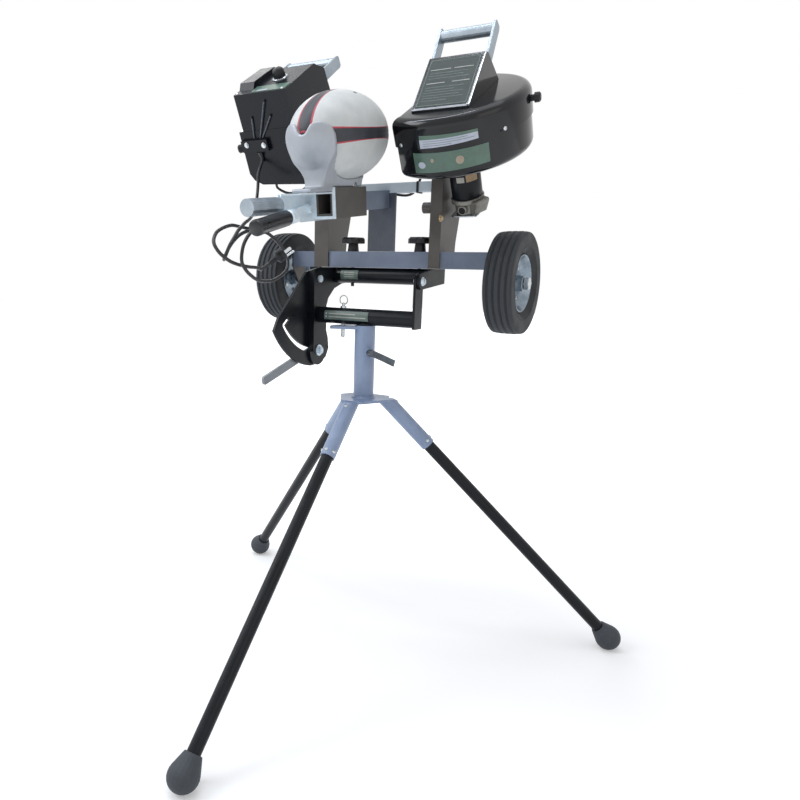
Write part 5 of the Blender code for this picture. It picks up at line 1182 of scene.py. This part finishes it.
def labelTubes():
    # a patch's own Z becomes world X, its X becomes world +Y
    basis = Matrix(((0, 0, 1, 0), (1, 0, 0, 0), (0, 1, 0, 0), (0, 0, 0, 1)))
    for name, (body, run, (start, end), material) in frameTubes["labels"].items():
        place = atPost @ Matrix.Translation((0, *frameTubes[body])) @ basis
        thick = frameTubes["baseThick" if material is oliveVinyl else "inkThick"]
        patch(name, material, place, frameTubes["radius"], (180 + start, 180 + end), run, thick,
              14, body)


def screwSockets():
    for side, azimuth in sockets["sides"].items():
        outward = spoke(azimuth)
        foot = outward * sockets["footReach"] + Vector((0, 0, sockets["footZ"]))
        root = outward * sockets["rootReach"] + Vector((0, 0, sockets["rootZ"]))
        down = (foot - root).normalized()
        across = Vector((0, 0, 1)).cross(outward)
        above = across.cross(down)
        above = above if above.z > 0 else -above
        for k, (run, lean) in enumerate(sockets["screws"]):
            normal = (above * math.cos(lean) + across * math.sin(lean)).normalized()
            at = root + down * run + normal * sockets["skin"]
            screw("socketScrew%s%d" % (side, k), at, normal, sockets["screwRadius"], atPost,
                  body="tripod")


def dressFrame():
    labelTubes()
    screwSockets()
    bead = lathe(postWeld["bead"], 48, True)  # round the post's foot
    for vertex in bead.verts:
        turn = math.atan2(vertex.co.y, vertex.co.x)
        vertex.co.xy *= 1 + postWeld["ripple"] * math.sin(postWeld["ripples"] * turn)
    makePiece("postWeld", bead, bluePowderCoat, atPost, "tripod")
    # bolt on the right upright's web, by the motor
    hexHead("webBolt", "web", webBolt, (1, 0, 0), atPost, brassPlate)
    # black strap that ties the link cable to the cross bar
    band = slab(softened(oblong(*strap["loop"]), strap["corner"]), *strap["x"], "x", 0.0005)
    makePiece("cableStrap", band, pvcSheath, atPost)


dressFrame()
print("frame dressed")


# Carriage details

carriage = {
    "slope": 6.5, "rail": (-0.121, 1.080), "near": -0.187, "half": (0.025, 0.0305), "wall": 0.010,
    "rib": [(-0.3097, 1.0802), (-0.1715, 1.0910), (-0.1857, 1.0775), (-0.2605, 1.0438),
            (-0.2764, 1.0428), (-0.3198, 1.0570)],
    "ribX": (-0.0312, -0.0285),
    "cradleBolt": (0.0227, -0.1055, 1.1167), "bracketBolts": ((-0.3021, 1.0600), (-0.1780, 1.0700)),
    "leverX": -0.006, "pivot": (-0.212, 1.060), "drop": 13.5,
    "grip": (0.100, 0.207), "gripRadius": 0.0152, "gripBore": 0.0116, "gripDeep": 0.0606,
    "skinVoxel": 1.8, "skinRounds": 22,  # mm, passes
}


# The cradle casting's even skin, drawn over the CAD node's own shape.
def makeCradle():
    piece = addObject("cradleCasting", nodes["ball_cradle"].data.copy())
    even = piece.modifiers.new("even", "REMESH")
    even.mode = "VOXEL"
    even.voxel_size = carriage["skinVoxel"] * mm
    soften = piece.modifiers.new("soften", "SMOOTH")
    soften.factor = 0.5
    soften.iterations = carriage["skinRounds"]
    shaped = bake(piece)
    shaped.materials.clear()
    shaped.materials.append(castAluminium)
    shaped.shade_smooth()
    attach(piece, "carriage")
    standIn(piece, "ball_cradle")


# Pale plated frame round the sleeve's near mouth.
def makeSleeveFrame():
    (wide, high), wall = carriage["half"], carriage["wall"]
    rings = []
    for inset, deep in ((-0.0004, 0.0030), (-0.0004, -0.0010), (0.0006, -0.0018),
                        (wall - 0.0050, -0.0018), (wall - 0.0044, -0.0010),
                        (wall - 0.0044, 0.0006)):
        edge = oblong((-wide + inset, wide - inset), (-high + inset, high - inset))
        rings.append([(x, deep, z) for x, z in edge])
    slope = math.radians(carriage["slope"])
    rise = (carriage["near"] - carriage["rail"][0]) / math.cos(slope) * math.sin(slope)
    at = (0, carriage["near"], carriage["rail"][1] + rise)
    place = atPost @ moved(at, carriage["slope"], "X")
    makePiece("sleeveMouth", skin(rings, "join"), zincPlate, place, "carriage")


def dressCarriage():
    makeCradle()
    makeSleeveFrame()
    rib = slab(softened(carriage["rib"], 0.004), *carriage["ribX"], "x", 0.0007)
    makePiece("bracketRib", rib, zincPlate, atPost, "carriage")
    hexHead("cradleBolt", "cradle", carriage["cradleBolt"], (1, 0, 0), atPost,
            body="carriage")
    for k, (y, z) in enumerate(carriage["bracketBolts"]):
        hexHead("bracketBolt%d" % k, "bracket", (-0.0286, y, z), (-1, 0, 0), atPost,
                body="carriage")


# Moulded grip: smooth sleeve, end ring and a domed end.
def makeGrip():
    (start, end), r = carriage["grip"], carriage["gripRadius"]
    bore, deep = carriage["gripBore"], start + carriage["gripDeep"]
    profile = [(0, deep), (bore, deep), (bore, start + gap), (r - 0.0030, start + gap),
               (r - 0.0012, start + 0.0012), (r - 0.0004, start + 0.004),
               (r - 0.0002, start + 0.030), (r - 0.0005, end - 0.0130), (r, end - 0.0115),
               (r, end - 0.0050), (r - 0.0010, end - 0.0022), (r - 0.0036, end - 0.0006),
               (0, end - 0.0002)]
    drop = math.radians(carriage["drop"])
    aim = (0, -math.cos(drop), -math.sin(drop))
    place = atPost @ facing((carriage["leverX"], *carriage["pivot"]), aim)
    sleeve = spun("gripSleeve", profile, 40, gripRubber, place, "feed_lever")
    standIn(sleeve, "feed_lever_grip")


dressCarriage()
makeGrip()
print("carriage dressed")


# Stage: floor, world, lamps

stage = {
    "size": 14, "drop": 0.0004, "paint": "#f2f2f2",
    "nearGlow": 0.28,  # white that the floor adds near the object, where its shadow lies
    "glowFrom": 0.7, "glowTo": 2.6,  # metres from the middle
    "soft": "#eef1f6", "softLevel": 0.50,  # the light that the surroundings give
    "aim": (0, 0.05, 0.9),
    "lamps": {  # place, watts, size, colour
        "keyLamp": ((-2.5, -1.9, 3.2), 58, (1.8, 1.8), "#f8fbff"),
        "fillLamp": ((2.8, -1.2, 2.0), 8, (1.8, 1.8), "#fff6ea"),
        "backLamp": ((-2.4, 2.4, 2.6), 22, (1.8, 1.8), "#ffffff"),
        "topLamp": ((0.5, -0.3, 4.2), 20, (2.2, 2.2), "#f4f8ff"),
        "stripLamp": ((-1.0, -0.35, 4.0), 34, (0.20, 2.6), "#eaf2ff"),
    },
}


# 1 for the rays that show the white surroundings: camera, glossy and transmission rays.
def showingRays(tree):
    rays = addNode(tree, "LightPath")
    level = rays.outputs["Is Camera Ray"]
    for kind in ("Is Glossy Ray", "Is Transmission Ray"):
        level = addNode(tree, "Math", {"operation": "MAXIMUM"}, {
            0: level, 1: rays.outputs[kind]}).outputs[0]
    return level


def makeFloor():
    size = stage["size"]
    bm = bmesh.new()
    square = oblong((-size, size), (-size, size))
    bm.faces.new([bm.verts.new((x, y, -stage["drop"])) for x, y in square])
    floor = addObject("studioFloor", toMesh("studioFloor", bm))
    material, tree, place = startMaterial("studio_floor")
    paint = addNode(tree, "BsdfPrincipled", {
        "Base Color": linear(stage["paint"]), "Roughness": 0.9, "Specular IOR Level": 0.1})
    away = addNode(tree, "VectorMath", {"operation": "LENGTH"}, {0: place})
    glow = addNode(tree, "MapRange", {
        "From Min": stage["glowFrom"], "From Max": stage["glowTo"], "To Min": stage["nearGlow"],
        "To Max": 1.0}, {"Value": away.outputs["Value"]})
    level = addNode(tree, "Math", {"operation": "MULTIPLY"}, {
        0: showingRays(tree), 1: glow.outputs[0]})
    white = addNode(tree, "Emission", {
        "Color": (1, 1, 1, 1)}, {"Strength": level.outputs[0]})
    both = addNode(tree, "AddShader", {}, {0: paint.outputs[0], 1: white.outputs[0]})
    addNode(tree, "OutputMaterial", links={"Surface": both.outputs[0]})
    floor.data.materials.append(material)


def makeWorld():
    world = bpy.data.worlds.new("studioWorld")
    bpy.context.scene.world = world
    world.use_nodes = True
    tree = world.node_tree
    tree.nodes.clear()
    soft = addNode(tree, "Background", {
        "Color": linear(stage["soft"]), "Strength": stage["softLevel"]})
    white = addNode(tree, "Background", {"Color": (1, 1, 1, 1), "Strength": 1.0})
    mixed = addNode(tree, "MixShader", {}, {
        0: showingRays(tree), 1: soft.outputs[0], 2: white.outputs[0]})
    addNode(tree, "OutputWorld", links={"Surface": mixed.outputs[0]})


def makeLamps():
    for lampName, (at, watts, size, colour) in stage["lamps"].items():
        light = bpy.data.lights.new(lampName, "AREA")
        light.energy = watts
        light.shape = "RECTANGLE"
        light.size, light.size_y = size
        light.color = linear(colour)[:3]
        turn = (Vector(stage["aim"]) - Vector(at)).to_track_quat("-Z", "Y").to_matrix().to_4x4()
        addObject(lampName, light).matrix_world = Matrix.Translation(at) @ turn


makeFloor()
makeWorld()
makeLamps()
bpy.context.scene.view_settings.view_transform = "Standard"
print("stage set")
